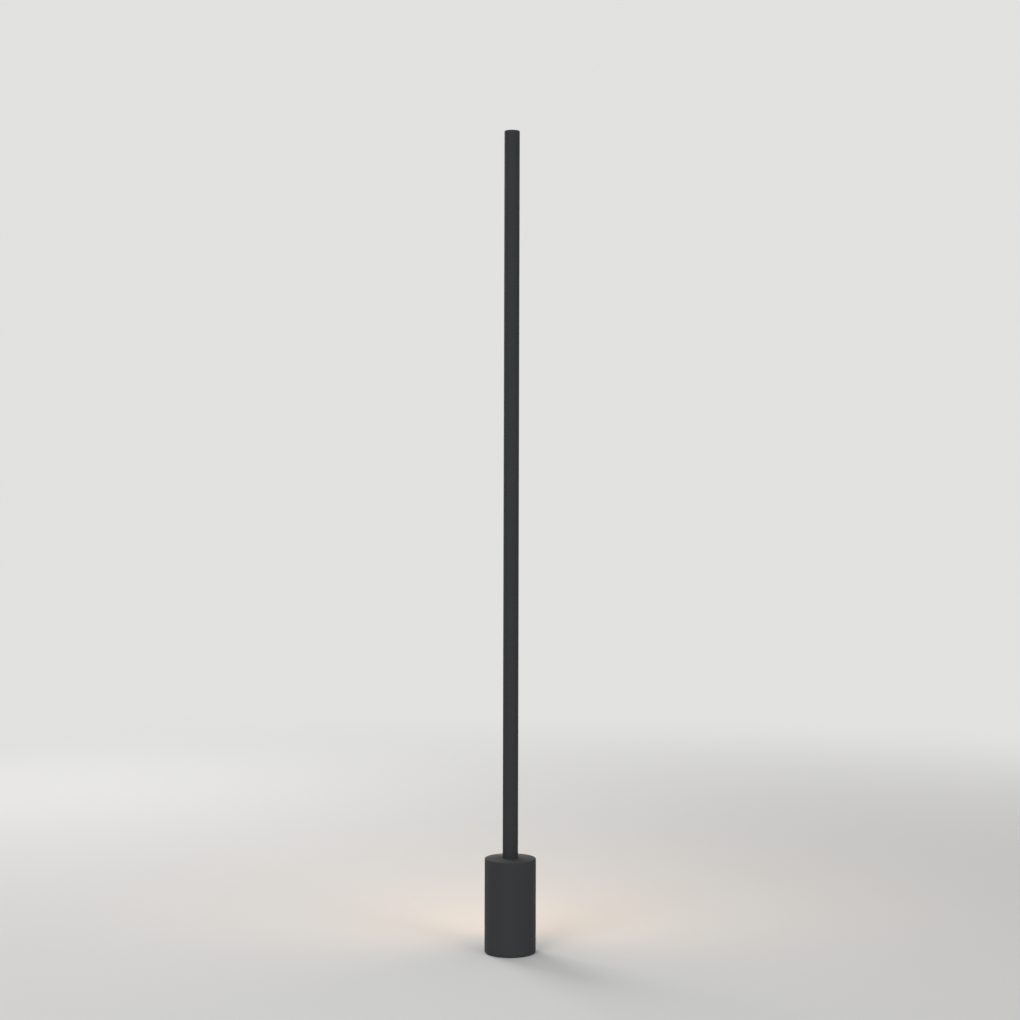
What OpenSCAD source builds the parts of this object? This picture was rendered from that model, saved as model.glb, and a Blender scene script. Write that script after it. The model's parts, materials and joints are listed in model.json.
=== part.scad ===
// Outdoor floor lamp: a slim aluminium pole that rises from the middle of a weighted
// cylindrical base and throws its light backwards, onto a wall, through a long opal strip.
// The origin is the middle of the foot on the ground. +Z is up and +Y is the lit rear side.
// Sizes are in millimetres.

/* [Overall] */
// Height from the ground to the top of the cap
lamp_h = 1600; // [1400:10:1900]
// Diameter of the base
base_d = 100; // [96:1:140]
// Height of the base, the ground gap included
base_h = 184; // [174:1:260]
// Diameter of the pole
pole_d = 30; // [28:1:36]

/* [Base shell] */
// Thickness of the shell's round wall
base_wall = 4; // [3:0.5:5]
// Thickness of the shell's top
base_top_t = 10; // [8:1:14]
// Radius on the top edge
base_edge_r = 2.4; // [0.6:0.2:3]
// Height of the shell's lower edge above the ground
ground_gap = 2; // [1:0.5:2.5]
// Width of the step inside the lower edge that the base plate fits in
rebate_w = 2; // [1.5:0.5:2]
// Depth of the socket that the pole stands in
socket_depth = 12; // [11:1:16]
// Thickness of the socket's floor
socket_floor_t = 10; // [8:1:12]
// Diameter of the boss round the socket
socket_boss_d = 44; // [40:1:48]
// Diameter of the three posts that take the plate screws
post_d = 9; // [8:0.5:10]
// Distance from the shell's inner wall to the middle of a post
post_inset = 6; // [5:0.5:7]

/* [Foot and base plate] */
// Thickness of the rubber foot
foot_t = 3; // [3:0.5:5]
// Gap between the rubber foot and the shell
foot_gap = 1; // [0.5:0.5:3]
// Thickness of the steel base plate
plate_t = 4; // [4:0.5:6]
// Thickness of the gasket between plate and shell
base_gasket_t = 1; // [0.5:0.5:2]
// Length of the plate screws
plate_screw_l = 18; // [14:1:30]

/* [Ballast] */
// Diameter of the space inside the ballast
ballast_bore_d = 54; // [52:1:58]
// Width of the slot at the rear of the ballast
ballast_slot_w = 28; // [28:1:34]
// Free height between the ballast and the socket boss
ballast_headroom = 16; // [10:1:40]
// Distance of the ballast screws from the axis
ballast_screw_at = 36; // [34:0.5:37]
// Length of the ballast screws
ballast_screw_l = 20; // [14:1:40]

/* [Driver and wiring] */
// Width of the driver's case
driver_w = 34; // [26:1:36]
// Depth of the driver's case
driver_depth = 26; // [20:1:27]
// Length of the driver's case
driver_l = 100; // [70:1:106]
// Height of the driver above the base plate
driver_lift = 22; // [18:1:24]
// Thickness of the bracket's sheet
bracket_t = 2; // [1.5:0.5:3]
// Depth of the bracket's foot
bracket_foot = 16; // [14:1:18]
// Width of the terminal block
block_w = 26; // [24:1:27]
// Depth of the terminal block
block_depth = 16; // [14:1:16]
// Height of the terminal block
block_h = 14; // [12:1:14]
// Distance between two poles of the terminal block
block_pitch = 8; // [7.5:0.5:8]
// Diameter of the two supply leads and the earth lead
supply_d = 2.4; // [1.6:0.2:3]
// Diameter of the two leads that go up the pole
output_d = 2.2; // [1.6:0.2:2.4]

/* [Cable gland] */
// Height of the gland's axis above the ground
gland_z = 34; // [34:1:60]
// Diameter of the gland's thread
gland_d = 16; // [16:1:18]
// Width across the flats of the gland's body and lock nut
gland_af = 22; // [21:1:23]
// Thickness of the wall that the gland is clamped to
gland_wall = 6; // [5:1:8]
// Diameter of the cable that the gland takes
cable_d = 8; // [6:0.5:9]

/* [Pole to base joint] */
// Thickness of the disc at the pole's lower end
pole_foot_t = 8; // [7:0.5:9]
// Outer diameter of the hollow clamping bolt
nipple_d = 10; // [9:1:10]
// Diameter of the hole through the clamping bolt
nipple_bore_d = 7; // [6.6:0.2:7.6]
// Thickness of the clamping nut
nipple_nut_t = 5; // [4:0.5:8]
// Length of the screws that hold the disc to the pole
foot_screw_l = 24; // [18:1:40]
// Diameter of the locating pin
pin_d = 3; // [2:0.5:3]
// Thickness of the O-ring's cord
ring_cord = 2; // [1.6:0.2:2.4]

/* [Pole profile] */
// Wall thickness of the pole
pole_wall = 2; // [1.5:0.1:2.4]
// Distance from the pole's axis to the face that the lights sit on
shelf_y = 4; // [3:0.25:4.5]
// Thickness of the shelf across the pole
shelf_t = 2; // [1.5:0.25:3]
// Half of the angle that the rear window opens
window_a = 52; // [48:1:56]
// Diameter of the screw ports inside the pole
port_d = 7.4; // [6.6:0.2:7.6]
// Angle of the screw ports from the front of the pole
port_a = 50; // [46:1:56]
// Thread diameter of the screws in the ports
port_screw_d = 4; // [3.5:0.1:4]

/* [Light strip] */
// Number of boards, end to end
board_count = 3; // [2:1:5]
// Width of a board
board_w = 12; // [10:0.5:12]
// Thickness of a board
board_t = 1.6; // [1:0.2:2]
// Thickness of the thermal tape under the boards
tape_t = 0.2; // [0.2:0.1:0.6]
// Distance between two lights
chip_pitch = 16.5; // [12:0.5:24]
// Height of the strip's lower end above the pole's lower end
strip_start = 34; // [34:1:80]
// Distance of the strip's upper end from the pole's upper end
strip_end_gap = 8; // [4:1:40]

/* [Diffuser] */
// Thickness of the opal cover
diffuser_t = 1.5; // [1.2:0.1:1.8]
// Room left above the cover for it to grow when warm
diffuser_end_gap = 1; // [0.5:0.5:3]
// Thickness of the cover's snap legs
leg_t = 1; // [0.8:0.1:1.4]

/* [Top cap] */
// Thickness of the cap
cap_t = 10; // [6:1:16]
// Radius on the cap's top edge
cap_edge_r = 1; // [0.5:0.25:2]
// Thickness of the gasket under the cap
cap_gasket_t = 1; // [0.5:0.5:2]
// Length of the cap screws
cap_screw_l = 22; // [18:1:40]

/* [Hidden] */
$fn = 96;

// Gap drawn between a thread or pin and the hole that holds it
fit = 0.05;
// Gap between parts that slide together
slide = 0.3;
// Overrun of a cut past the face that it opens
over = 1;
// Facets of small round parts
small = 32;
// Points along a rounded edge
edge_steps = 6;

// Outline of the base
base_r = base_d / 2;
shell_in_r = base_r - base_wall;
rebate_r = shell_in_r + rebate_w;
plate_r = rebate_r - slide;
foot_r = rebate_r - foot_gap;
foot_chamfer = 0.6;
post_at = shell_in_r - post_inset;
post_angles = [30, 150, 270];
shell_chamfer = 0.5;

// Heights in the base
plate_z = foot_t;
deck_z = plate_z + plate_t;
step_z = deck_z + base_gasket_t;
ceiling_z = base_h - base_top_t;
socket_z = base_h - socket_depth;
boss_z = socket_z - socket_floor_t;

// Base fasteners: a 4 mm and a 6 mm countersunk screw
plate_screw_d = 4;
plate_head_d = 8;
ballast_screw_d = 6;
ballast_head_d = 12;
ballast_screw_angles = [0, 180, 240, 300];
ballast_gap = 0.5;
ballast_h = boss_z - ballast_headroom - deck_z;

// Driver, upright in the ballast, on a bracket in front of it
bore_r = ballast_bore_d / 2;
bracket_gap = 3;
bracket_y = bracket_gap - sqrt(bore_r * bore_r - driver_w * driver_w / 4);
driver_y = bracket_y + bracket_t;
driver_z = deck_z + driver_lift;
driver_top = driver_z + driver_l;
driver_hole_at = [0.2, 0.8];
m4_d = 4;
m4_head_d = 7;
m4_head_h = 2.4;
driver_screw_bite = 6;
driver_screw_l = bracket_t + driver_screw_bite;
bracket_screw_x = 9;
bracket_screw_inset = 6;
bracket_screw_y = bracket_y + bracket_foot - bracket_screw_inset;

// Cable gland, seated on a flat spot of the rear wall
gland_r = gland_d / 2;
gland_hex_r = gland_af / 2 / cos(30);
spot_r = gland_hex_r + 0.5;
spot_y = sqrt(base_r * base_r - spot_r * spot_r);
gland_washer_t = 1;
gland_y = spot_y + gland_washer_t;
gland_flange_t = 5;
gland_thread_l = 8;
locknut_t = 5;
gland_inner_y = spot_y - gland_wall;
gland_end_y = gland_inner_y - locknut_t - 1;
gland_neck = gland_y - gland_end_y;
gland_mouth = gland_flange_t + gland_thread_l;
seal_r = gland_r - 2.2;
seal_l = 10;
collar_r = gland_r - 1;
collar_t = 1.2;
nose_r = seal_r - 0.5;
nose_l = 2.8;
seal_end = gland_mouth + collar_t + nose_l;
nut_start = gland_flange_t + 0.4;
nut_hex_l = 7;
nut_l = 15.6;
nut_wall = 1.6;

// Terminal block behind the driver, in front of the gland
block_y = gland_end_y - 1.5 - block_depth;
block_wire_z = deck_z + block_h / 2;
wire_hole_d = 4.4;
wire_hole_l = 5;
block_poles = [-1, 0, 1];
block_screw_d = 3;
block_head_d = 5;
block_head_h = 2;
block_floor_t = 3;
clamp_head_d = 4;
clamp_l = block_h / 2 - wire_hole_d / 2 - 0.4;

// Earth lug in the middle of the bracket's foot, pointing back to the terminal block
lug_t = 0.8;
lug_r = 4.4;
lug_z = deck_z + bracket_t;
barrel_l = 4.5;
barrel_wall = 0.6;
barrel_r = supply_d / 2 + slide + barrel_wall;
barrel_mouth = bracket_screw_y + lug_r + barrel_l;

// Joint of pole and base
pole_r = pole_d / 2;
pole_bore_r = pole_r - pole_wall;
socket_r = pole_r + slide;
pole_z = socket_z + pole_foot_t;
pole_end_z = lamp_h - cap_t - cap_gasket_t;
pole_l = pole_end_z - pole_z;
nipple_r = nipple_d / 2;
nipple_washer_t = 1.6;
nipple_washer_r = nipple_r + 5.5;
nipple_nut_af = nipple_d + 4;
nipple_tail = 3;
nipple_z = boss_z - nipple_washer_t - nipple_nut_t - nipple_tail;
nipple_top_gap = 0.5;
pin_at = 10.3;
pin_up = 5;
pin_down = 7;
groove_w = ring_cord + 0.4;
groove_z = pole_z - groove_w / 2 - 1.8;
groove_r = socket_r - ring_cord - 2 * fit;

// Pole profile
port_r = port_d / 2;
port_overlap = 0.7;
port_at = pole_bore_r - port_r + port_overlap;
port_bore_r = port_screw_d / 2 + fit;
port_head_d = port_screw_d + 3.4;
port_spots = [for (s = [-1, 1]) [s * port_at * sin(port_a), -port_at * cos(port_a)]];

// Light strip
strip_z = pole_z + strip_start;
strip_l = pole_end_z - strip_end_gap - strip_z;
board_gap = 0.6;
board_l = (strip_l - board_gap * (board_count - 1)) / board_count;
board_y = shelf_y + tape_t;
board_face = board_y + board_t;
board_starts = [for (i = [0 : board_count - 1]) strip_z + i * (board_l + board_gap)];
end_room = 10;
chip_count = floor((board_l - 2 * end_room) / chip_pitch) + 1;
chip_start = (board_l - (chip_count - 1) * chip_pitch) / 2;
chip = [2.8, 0.7, 3.5];
board_screw_d = 2.4;
board_head_d = 4.4;
board_head_h = 1.4;
board_screw_tail = 1;
board_screw_at = chip_start + 2.5 * chip_pitch;
board_screw_zs = [for (z = board_starts) for (k = [board_screw_at, board_l - board_screw_at])
    z + k];
link = [7, 2.4, 14];
connector = [8, 4, 7];
connector_inset = 0.5;

// Leads to the strip, through a grommet in the shelf
lead_x = output_d / 2 + 0.1;
lead_y = -0.8;
lead_hole_drop = 12;
lead_hole_z = strip_z - lead_hole_drop;
lead_turn = 9;
lead_bow = 4.6;
grommet_bore_r = lead_x + output_d / 2 + 0.3;
grommet_wall = 0.8;
grommet_lip = 1;
lead_hole_r = grommet_bore_r + grommet_wall;
connector_y = board_face + connector[1] / 2;

// Diffuser, flush in the window
window_gap_a = 0.5;
leg_gap = 0.25;
leg_x = pole_bore_r * sin(window_a) - leg_gap;
barb = 0.9;
barb_y = sqrt(pole_bore_r * pole_bore_r - pow(leg_x + barb, 2)) - 0.2;
barb_h = 0.4;
leg_tip = 1.4;
leg_root_r = pole_r - diffuser_t / 3;
leg_root_y = sqrt(leg_root_r * leg_root_r - leg_x * leg_x);
half_overlap = 0.01;

// Cap
cap_z = lamp_h - cap_t;
socket_af = 2.5;

function unit(v) = v / norm(v);

// Points of a rounded corner about c, turning from angle a to angle b
function corner(c, r, a, b) = [for (i = [0 : edge_steps])
    let (t = a + (b - a) * i / edge_steps) c + r * [cos(t), sin(t)]];

// Smooth path through the points p, with n steps between two of them
function smooth(p, n) = let (last = len(p) - 1) concat([for (i = [0 : last - 1])
    for (k = [0 : n - 1])
    let (a = p[max(i - 1, 0)], b = p[i], c = p[i + 1], d = p[min(i + 2, last)], t = k / n)
    0.5 * (2 * b + (c - a) * t + (2 * a - 5 * b + 4 * c - d) * t * t
        + (3 * b - a - 3 * c + d) * t * t * t)], [p[last]]);

// Round lead along a path; side is a direction that the path never runs in
module lead(path, d, side) {
    last = len(path) - 1;
    sides = 8;
    points = [for (i = [0 : last])
        let (t = unit(path[min(i + 1, last)] - path[max(i - 1, 0)]),
            u = unit(cross(t, side)), v = cross(t, u))
        for (k = [0 : sides - 1])
        path[i] + d / 2 * (cos(360 * k / sides) * u + sin(360 * k / sides) * v)];
    walls = [for (i = [0 : last - 1]) for (k = [0 : sides - 1])
        let (a = i * sides + k, b = i * sides + (k + 1) % sides)
        for (face = [[a, a + sides, b], [b, a + sides, b + sides]]) face];
    caps = [[for (k = [0 : sides - 1]) k],
        [for (k = [sides - 1 : -1 : 0]) last * sides + k]];
    polyhedron(points = points, faces = concat(walls, caps), convexity = 6);
}

// Countersunk screw with a hexagon socket, its head's flat face at z = 0, pointing up
module csk_screw(d, head_d, l, af) {
    head_h = (head_d - d) / 2;
    difference() {
        rotate_extrude($fn = small)
            polygon([[0, 0], [head_d / 2, 0], [d / 2, head_h], [d / 2, l], [0, l]]);
        translate([0, 0, -over])
            cylinder(r = af / 2 / cos(30), h = over + head_h, $fn = 6);
    }
}

// Hole for that screw, open below z = 0
module csk_hole(d, head_d, l) {
    rotate_extrude($fn = small)
        polygon([[0, -over], [head_d / 2 + fit, -over], [head_d / 2 + fit, 0],
            [d / 2 + fit, (head_d - d) / 2], [d / 2 + fit, l], [0, l]]);
}

// Round-headed screw that points down, its head standing on z = 0
module pan_screw(d, head_d, head_h, l) {
    difference() {
        rotate_extrude($fn = small)
            polygon([[0, -l], [d / 2, -l], [d / 2, 0], [head_d / 2, 0],
                [head_d / 2, head_h * 0.55], [head_d * 0.36, head_h], [0, head_h]]);
        for (a = [0, 90]) rotate(a)
            translate([-head_d * 0.3, -head_d * 0.07, head_h * 0.45])
            cube([head_d * 0.6, head_d * 0.14, head_h]);
    }
}

// Puts children on the gland's axis, at depth y, their +Z to the rear
module at_gland(y) {
    translate([0, y, gland_z]) rotate([-90, 0, 0]) children();
}

// Puts children on the shelf at height z, their +Z to the rear
module at_shelf(z, y) {
    translate([0, y, z]) rotate([-90, 0, 0]) children();
}

module at_posts(r, angles) {
    for (a = angles) rotate(a) translate([r, 0, 0]) children();
}

// Outline of a post and its web to the wall, grown by g
module post_outline(g) {
    circle(d = post_d + 2 * g, $fn = small);
    translate([0, -post_d / 2 - g])
        square([post_inset + base_wall / 2, post_d + 2 * g]);
}

module foot_pad() {
    color("#1a1a1b") difference() {
        rotate_extrude()
            polygon([[0, 0], [foot_r - foot_chamfer, 0], [foot_r, foot_chamfer],
                [foot_r, foot_t], [0, foot_t]]);
        at_posts(post_at, post_angles) translate([0, 0, -over])
            cylinder(d = plate_head_d + 2 * slide, h = foot_t + 2 * over, $fn = small);
    }
}

module base_plate() {
    color("#8d9094") difference() {
        translate([0, 0, plate_z]) cylinder(r = plate_r, h = plate_t);
        translate([0, 0, plate_z]) {
            at_posts(post_at, post_angles)
                csk_hole(plate_screw_d, plate_head_d, plate_t + over);
            at_posts(ballast_screw_at, ballast_screw_angles)
                csk_hole(ballast_screw_d, ballast_head_d, plate_t + over);
        }
        bracket_screw_holes();
        block_screw_holes();
    }
}

module plate_screws() {
    color("#b9bcc0") translate([0, 0, plate_z])
        at_posts(post_at, post_angles)
        csk_screw(plate_screw_d, plate_head_d, plate_screw_l, socket_af);
}

module base_gasket() {
    color("#222324") translate([0, 0, deck_z]) difference() {
        cylinder(r = plate_r, h = base_gasket_t);
        translate([0, 0, -over])
            cylinder(r = shell_in_r + fit, h = base_gasket_t + 2 * over);
    }
}

module shell_body() {
    rotate_extrude() polygon(concat(
        [[rebate_r, step_z], [rebate_r, ground_gap], [base_r - shell_chamfer, ground_gap],
            [base_r, ground_gap + shell_chamfer]],
        corner([base_r - base_edge_r, base_h - base_edge_r], base_edge_r, 0, 90),
        [[socket_r, base_h], [socket_r, socket_z], [nipple_r + slide, socket_z],
            [nipple_r + slide, boss_z], [socket_boss_d / 2, boss_z],
            [socket_boss_d / 2, ceiling_z], [shell_in_r, ceiling_z], [shell_in_r, step_z]]));
    translate([0, 0, step_z]) linear_extrude(ceiling_z - step_z + over)
        at_posts(post_at, post_angles) post_outline(0);
    at_gland(gland_inner_y) cylinder(r = spot_r, h = gland_wall - slide);
}

module base_shell() {
    color("#3c3d3e") difference() {
        shell_body();
        at_posts(post_at, post_angles) translate([0, 0, step_z - over])
            cylinder(d = plate_screw_d + 2 * fit, h = plate_screw_l, $fn = small);
        at_gland(gland_inner_y - over)
            cylinder(r = gland_r + slide, h = gland_wall + 2 * over);
        at_gland(spot_y) cylinder(r = spot_r + over, h = base_r);
        translate([0, pin_at, socket_z - pin_down])
            cylinder(d = pin_d + 2 * fit, h = pin_down + over, $fn = small);
    }
}

module ballast() {
    color("#4b4743") translate([0, 0, deck_z]) difference() {
        linear_extrude(ballast_h) difference() {
            circle(r = shell_in_r - ballast_gap);
            circle(r = bore_r);
            translate([-ballast_slot_w / 2, 0]) square([ballast_slot_w, base_r]);
            at_posts(post_at, post_angles) post_outline(ballast_gap);
        }
        at_posts(ballast_screw_at, ballast_screw_angles) translate([0, 0, -over])
            cylinder(d = ballast_screw_d + 2 * fit, h = ballast_screw_l, $fn = small);
    }
}

module ballast_screws() {
    color("#b9bcc0") translate([0, 0, plate_z])
        at_posts(ballast_screw_at, ballast_screw_angles)
        csk_screw(ballast_screw_d, ballast_head_d, ballast_screw_l, socket_af + 1.5);
}

// Holes for the two bracket screws and, between them, the earth screw
module bracket_screw_holes() {
    for (x = [-bracket_screw_x, 0, bracket_screw_x])
        translate([x, bracket_screw_y, plate_z - over])
        cylinder(d = m4_d + 2 * fit, h = plate_t + bracket_t + 2 * over, $fn = small);
}

module driver_hole(l) {
    for (share = driver_hole_at)
        translate([0, bracket_y - over, driver_z + driver_l * share]) rotate([-90, 0, 0])
        cylinder(d = m4_d + 2 * fit, h = l + over, $fn = small);
}

module driver_bracket() {
    color("#a9adb0") difference() {
        union() {
            translate([-driver_w / 2 + 1, bracket_y, deck_z])
                cube([driver_w - 2, bracket_t, driver_lift + driver_l * 0.9]);
            translate([-driver_w / 2 + 1, bracket_y, deck_z])
                cube([driver_w - 2, bracket_foot, bracket_t]);
        }
        bracket_screw_holes();
        driver_hole(bracket_t + over);
    }
}

module bracket_screws() {
    color("#b9bcc0") for (x = [-bracket_screw_x, bracket_screw_x])
        translate([x, bracket_screw_y, deck_z + bracket_t])
        pan_screw(m4_d, m4_head_d, m4_head_h, bracket_t + plate_t - 0.5);
}

module driver_case() {
    color("#d8d9d6") difference() {
        translate([-driver_w / 2, driver_y, driver_z]) cube([driver_w, driver_depth, driver_l]);
        driver_hole(driver_screw_l + over);
    }
}

module driver_screws() {
    color("#b9bcc0") for (share = driver_hole_at)
        translate([0, bracket_y, driver_z + driver_l * share]) rotate([90, 0, 0])
        pan_screw(m4_d, m4_head_d, m4_head_h, driver_screw_l);
}

module block_screw_spots() {
    for (x = [-block_pitch / 2, block_pitch / 2])
        translate([x, block_y + block_depth / 2, 0]) children();
}

module block_screw_holes() {
    block_screw_spots() translate([0, 0, plate_z - over])
        cylinder(d = block_screw_d + 2 * fit, h = plate_t + block_h, $fn = small);
}

module terminal_block() {
    color("#e4e2da") difference() {
        translate([-block_w / 2, block_y, deck_z]) cube([block_w, block_depth, block_h]);
        block_screw_holes();
        block_screw_spots() translate([0, 0, deck_z + block_floor_t])
            cylinder(d = block_head_d + 2 * slide, h = block_h, $fn = small);
        for (i = block_poles) translate([i * block_pitch, 0, 0]) {
            translate([0, block_y - over, block_wire_z]) rotate([-90, 0, 0])
                cylinder(d = wire_hole_d, h = wire_hole_l + over, $fn = small);
            translate([0, block_y + block_depth - wire_hole_l, block_wire_z])
                rotate([-90, 0, 0]) cylinder(d = wire_hole_d, h = block_depth, $fn = small);
            for (y = [wire_hole_l / 2, block_depth - wire_hole_l / 2])
                translate([0, block_y + y, block_wire_z])
                cylinder(d = clamp_head_d - 2 * slide, h = block_h, $fn = small);
        }
    }
}

module block_screws() {
    color("#b9bcc0") block_screw_spots() translate([0, 0, deck_z + block_floor_t])
        pan_screw(block_screw_d, block_head_d, block_head_h, block_floor_t + plate_t - 0.5);
}

module terminal_screws() {
    color("#c7b063") for (i = block_poles)
        for (y = [wire_hole_l / 2, block_depth - wire_hole_l / 2])
        translate([i * block_pitch, block_y + y, deck_z + block_h - clamp_l])
        difference() {
            cylinder(d = clamp_head_d - 2 * slide - 2 * fit, h = clamp_l - 0.4, $fn = small);
            translate([-clamp_head_d, -0.3, clamp_l - 1.2])
                cube([2 * clamp_head_d, 0.6, over]);
        }
}

module supply_leads() {
    enter_y = block_y + wire_hole_l - 1;
    rise_y = driver_y + driver_depth * 0.45;
    color("#3f6fae") for (x = [-block_pitch, block_pitch]) {
        lead(smooth([[x, enter_y, block_wire_z], [x, block_y - 2, block_wire_z],
            [x, (block_y + rise_y) / 2, block_wire_z - 1.4],
            [x, rise_y + 4, block_wire_z + 0.2],
            [x, rise_y + 0.6, (block_wire_z + driver_z) / 2],
            [x, rise_y, driver_z - 3], [x, rise_y, driver_z - fit]], 4), supply_d, [1, 0, 0]);
    }
}

module earth_lead() {
    lug_axis = lug_z + barrel_r;
    color("#7fa33c") lead(smooth([[0, block_y + wire_hole_l - 1, block_wire_z],
        [0, block_y - 1, block_wire_z],
        [0, (block_y + barrel_mouth) / 2, (block_wire_z + lug_axis) / 2],
        [0, barrel_mouth + 1, lug_axis], [0, barrel_mouth - 0.4, lug_axis],
        [0, barrel_mouth - 2, lug_axis]], 4), supply_d, [1, 0, 0]);
}

module earth_lug() {
    color("#c9ccd0") translate([0, bracket_screw_y, lug_z]) difference() {
        union() {
            cylinder(r = lug_r, h = lug_t, $fn = small);
            translate([-barrel_r * 0.8, 0, 0])
                cube([barrel_r * 1.6, lug_r + 1, lug_t]);
            translate([0, lug_r, barrel_r]) rotate([-90, 0, 0])
                cylinder(r = barrel_r, h = barrel_l, $fn = small);
        }
        translate([0, 0, -over]) cylinder(d = m4_d + 2 * fit, h = lug_t + 2 * over, $fn = small);
        translate([0, lug_r + 1.5, barrel_r]) rotate([-90, 0, 0])
            cylinder(d = supply_d + 2 * slide, h = barrel_l, $fn = small);
    }
}

module earth_screw() {
    color("#b9bcc0") translate([0, bracket_screw_y, lug_z + lug_t])
        pan_screw(m4_d, m4_head_d, m4_head_h, lug_t + bracket_t + plate_t - 0.5);
}

module output_leads() {
    bend_y = lead_y - lead_bow;
    color("#c8c8c4") for (x = [-lead_x, lead_x])
        lead(smooth([[x, lead_y, driver_top], [x, lead_y, nipple_z],
            [x, lead_y, pole_z - 2], [x, lead_y - 0.4, pole_z + 2],
            [x, bend_y, lead_hole_z - lead_turn],
            [x, bend_y + lead_turn * 0.1, lead_hole_z - lead_turn / 3],
            [x, lead_y - 1.2, lead_hole_z - 0.3], [x, 1, lead_hole_z],
            [x, shelf_y + grommet_lip, lead_hole_z],
            [x, connector_y - 0.8, lead_hole_z + 2.2],
            [x, connector_y, lead_hole_z + 5],
            [x, connector_y, strip_z + connector_inset + 1]], 3), output_d, [1, 0, 0]);
}

module gland_body() {
    color("#1d1e1f") at_gland(gland_y) difference() {
        union() {
            translate([0, 0, -gland_neck])
                cylinder(r = gland_r, h = gland_neck + gland_mouth);
            cylinder(r = gland_hex_r, h = gland_flange_t, $fn = 6);
        }
        translate([0, 0, -gland_neck - over])
            cylinder(r = seal_r + fit, h = gland_neck + gland_mouth + 2 * over);
    }
}

module gland_washer() {
    color("#2a2b2c") at_gland(spot_y) difference() {
        cylinder(r = gland_hex_r - 1, h = gland_washer_t);
        translate([0, 0, -over]) cylinder(r = gland_r + fit, h = gland_washer_t + 2 * over);
    }
}

// Rubber seal: a sleeve in the body, a collar on the body's mouth and a nose in the nut
module gland_seal() {
    color("#303132") at_gland(gland_y) rotate_extrude()
        polygon([[cable_d / 2, seal_end - seal_l], [seal_r, seal_end - seal_l],
            [seal_r, gland_mouth], [collar_r, gland_mouth], [collar_r, gland_mouth + collar_t],
            [nose_r, gland_mouth + collar_t], [nose_r, seal_end], [cable_d / 2, seal_end]]);
}

module gland_nut() {
    round_r = gland_r + nut_wall;
    mouth_r = nose_r + fit;
    shoulder = gland_mouth + collar_t + fit - nut_start;
    dome_r = round_r - mouth_r - 1;
    color("#1d1e1f") at_gland(gland_y + nut_start) difference() {
        union() {
            cylinder(r = round_r / cos(30), h = nut_hex_l, $fn = 6);
            rotate_extrude() polygon(concat([[0, 1], [round_r, 1],
                [round_r, nut_l - dome_r]],
                corner([round_r - dome_r, nut_l - dome_r], dome_r, 0, 90),
                [[0, nut_l]]));
        }
        rotate_extrude() polygon([[0, -over], [gland_r + fit, -over],
            [gland_r + fit, shoulder], [mouth_r, shoulder], [mouth_r, nut_l + over],
            [0, nut_l + over]]);
    }
}

module gland_locknut() {
    color("#1d1e1f") at_gland(gland_inner_y - locknut_t) difference() {
        cylinder(r = gland_hex_r, h = locknut_t, $fn = 6);
        translate([0, 0, -over]) cylinder(r = gland_r + fit, h = locknut_t + 2 * over);
    }
}

module at_ports() {
    for (p = port_spots) translate(p) children();
}

module pole_foot() {
    color("#9a9da0") difference() {
        translate([0, 0, socket_z]) cylinder(r = pole_r, h = pole_foot_t);
        translate([0, 0, socket_z - over])
            cylinder(r = nipple_r + fit, h = pole_foot_t + 2 * over);
        translate([0, 0, socket_z]) at_ports()
            csk_hole(port_screw_d, port_head_d, pole_foot_t + over);
        translate([0, pin_at, socket_z - over])
            cylinder(d = pin_d + 2 * fit, h = pin_up + over, $fn = small);
        translate([0, 0, groove_z - groove_w / 2]) difference() {
            cylinder(r = pole_r + over, h = groove_w);
            translate([0, 0, -over]) cylinder(r = groove_r, h = groove_w + 2 * over);
        }
    }
}

module foot_screws() {
    color("#b9bcc0") translate([0, 0, socket_z]) at_ports()
        csk_screw(port_screw_d, port_head_d, foot_screw_l, socket_af);
}

module pole_nipple() {
    color("#c0b27c") difference() {
        translate([0, 0, nipple_z])
            cylinder(r = nipple_r, h = pole_z - nipple_top_gap - nipple_z);
        translate([0, 0, nipple_z - over])
            cylinder(d = nipple_bore_d, h = pole_z - nipple_z + 2 * over);
    }
}

module nipple_washer() {
    color("#b9bcc0") translate([0, 0, boss_z - nipple_washer_t]) difference() {
        cylinder(r = nipple_washer_r, h = nipple_washer_t);
        translate([0, 0, -over])
            cylinder(r = nipple_r + slide, h = nipple_washer_t + 2 * over);
    }
}

module nipple_nut() {
    color("#b9bcc0") translate([0, 0, boss_z - nipple_washer_t - nipple_nut_t]) difference() {
        cylinder(r = nipple_nut_af / 2 / cos(30), h = nipple_nut_t, $fn = 6);
        translate([0, 0, -over]) cylinder(r = nipple_r + fit, h = nipple_nut_t + 2 * over);
    }
}

module locating_pin() {
    color("#b9bcc0") translate([0, pin_at, socket_z - pin_down + fit])
        cylinder(d = pin_d, h = pin_down + pin_up - 4 * fit, $fn = small);
}

module pole_o_ring() {
    color("#1b1c1d") translate([0, 0, groove_z]) rotate_extrude()
        translate([groove_r + fit + ring_cord / 2, 0]) circle(d = ring_cord, $fn = small);
}

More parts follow.
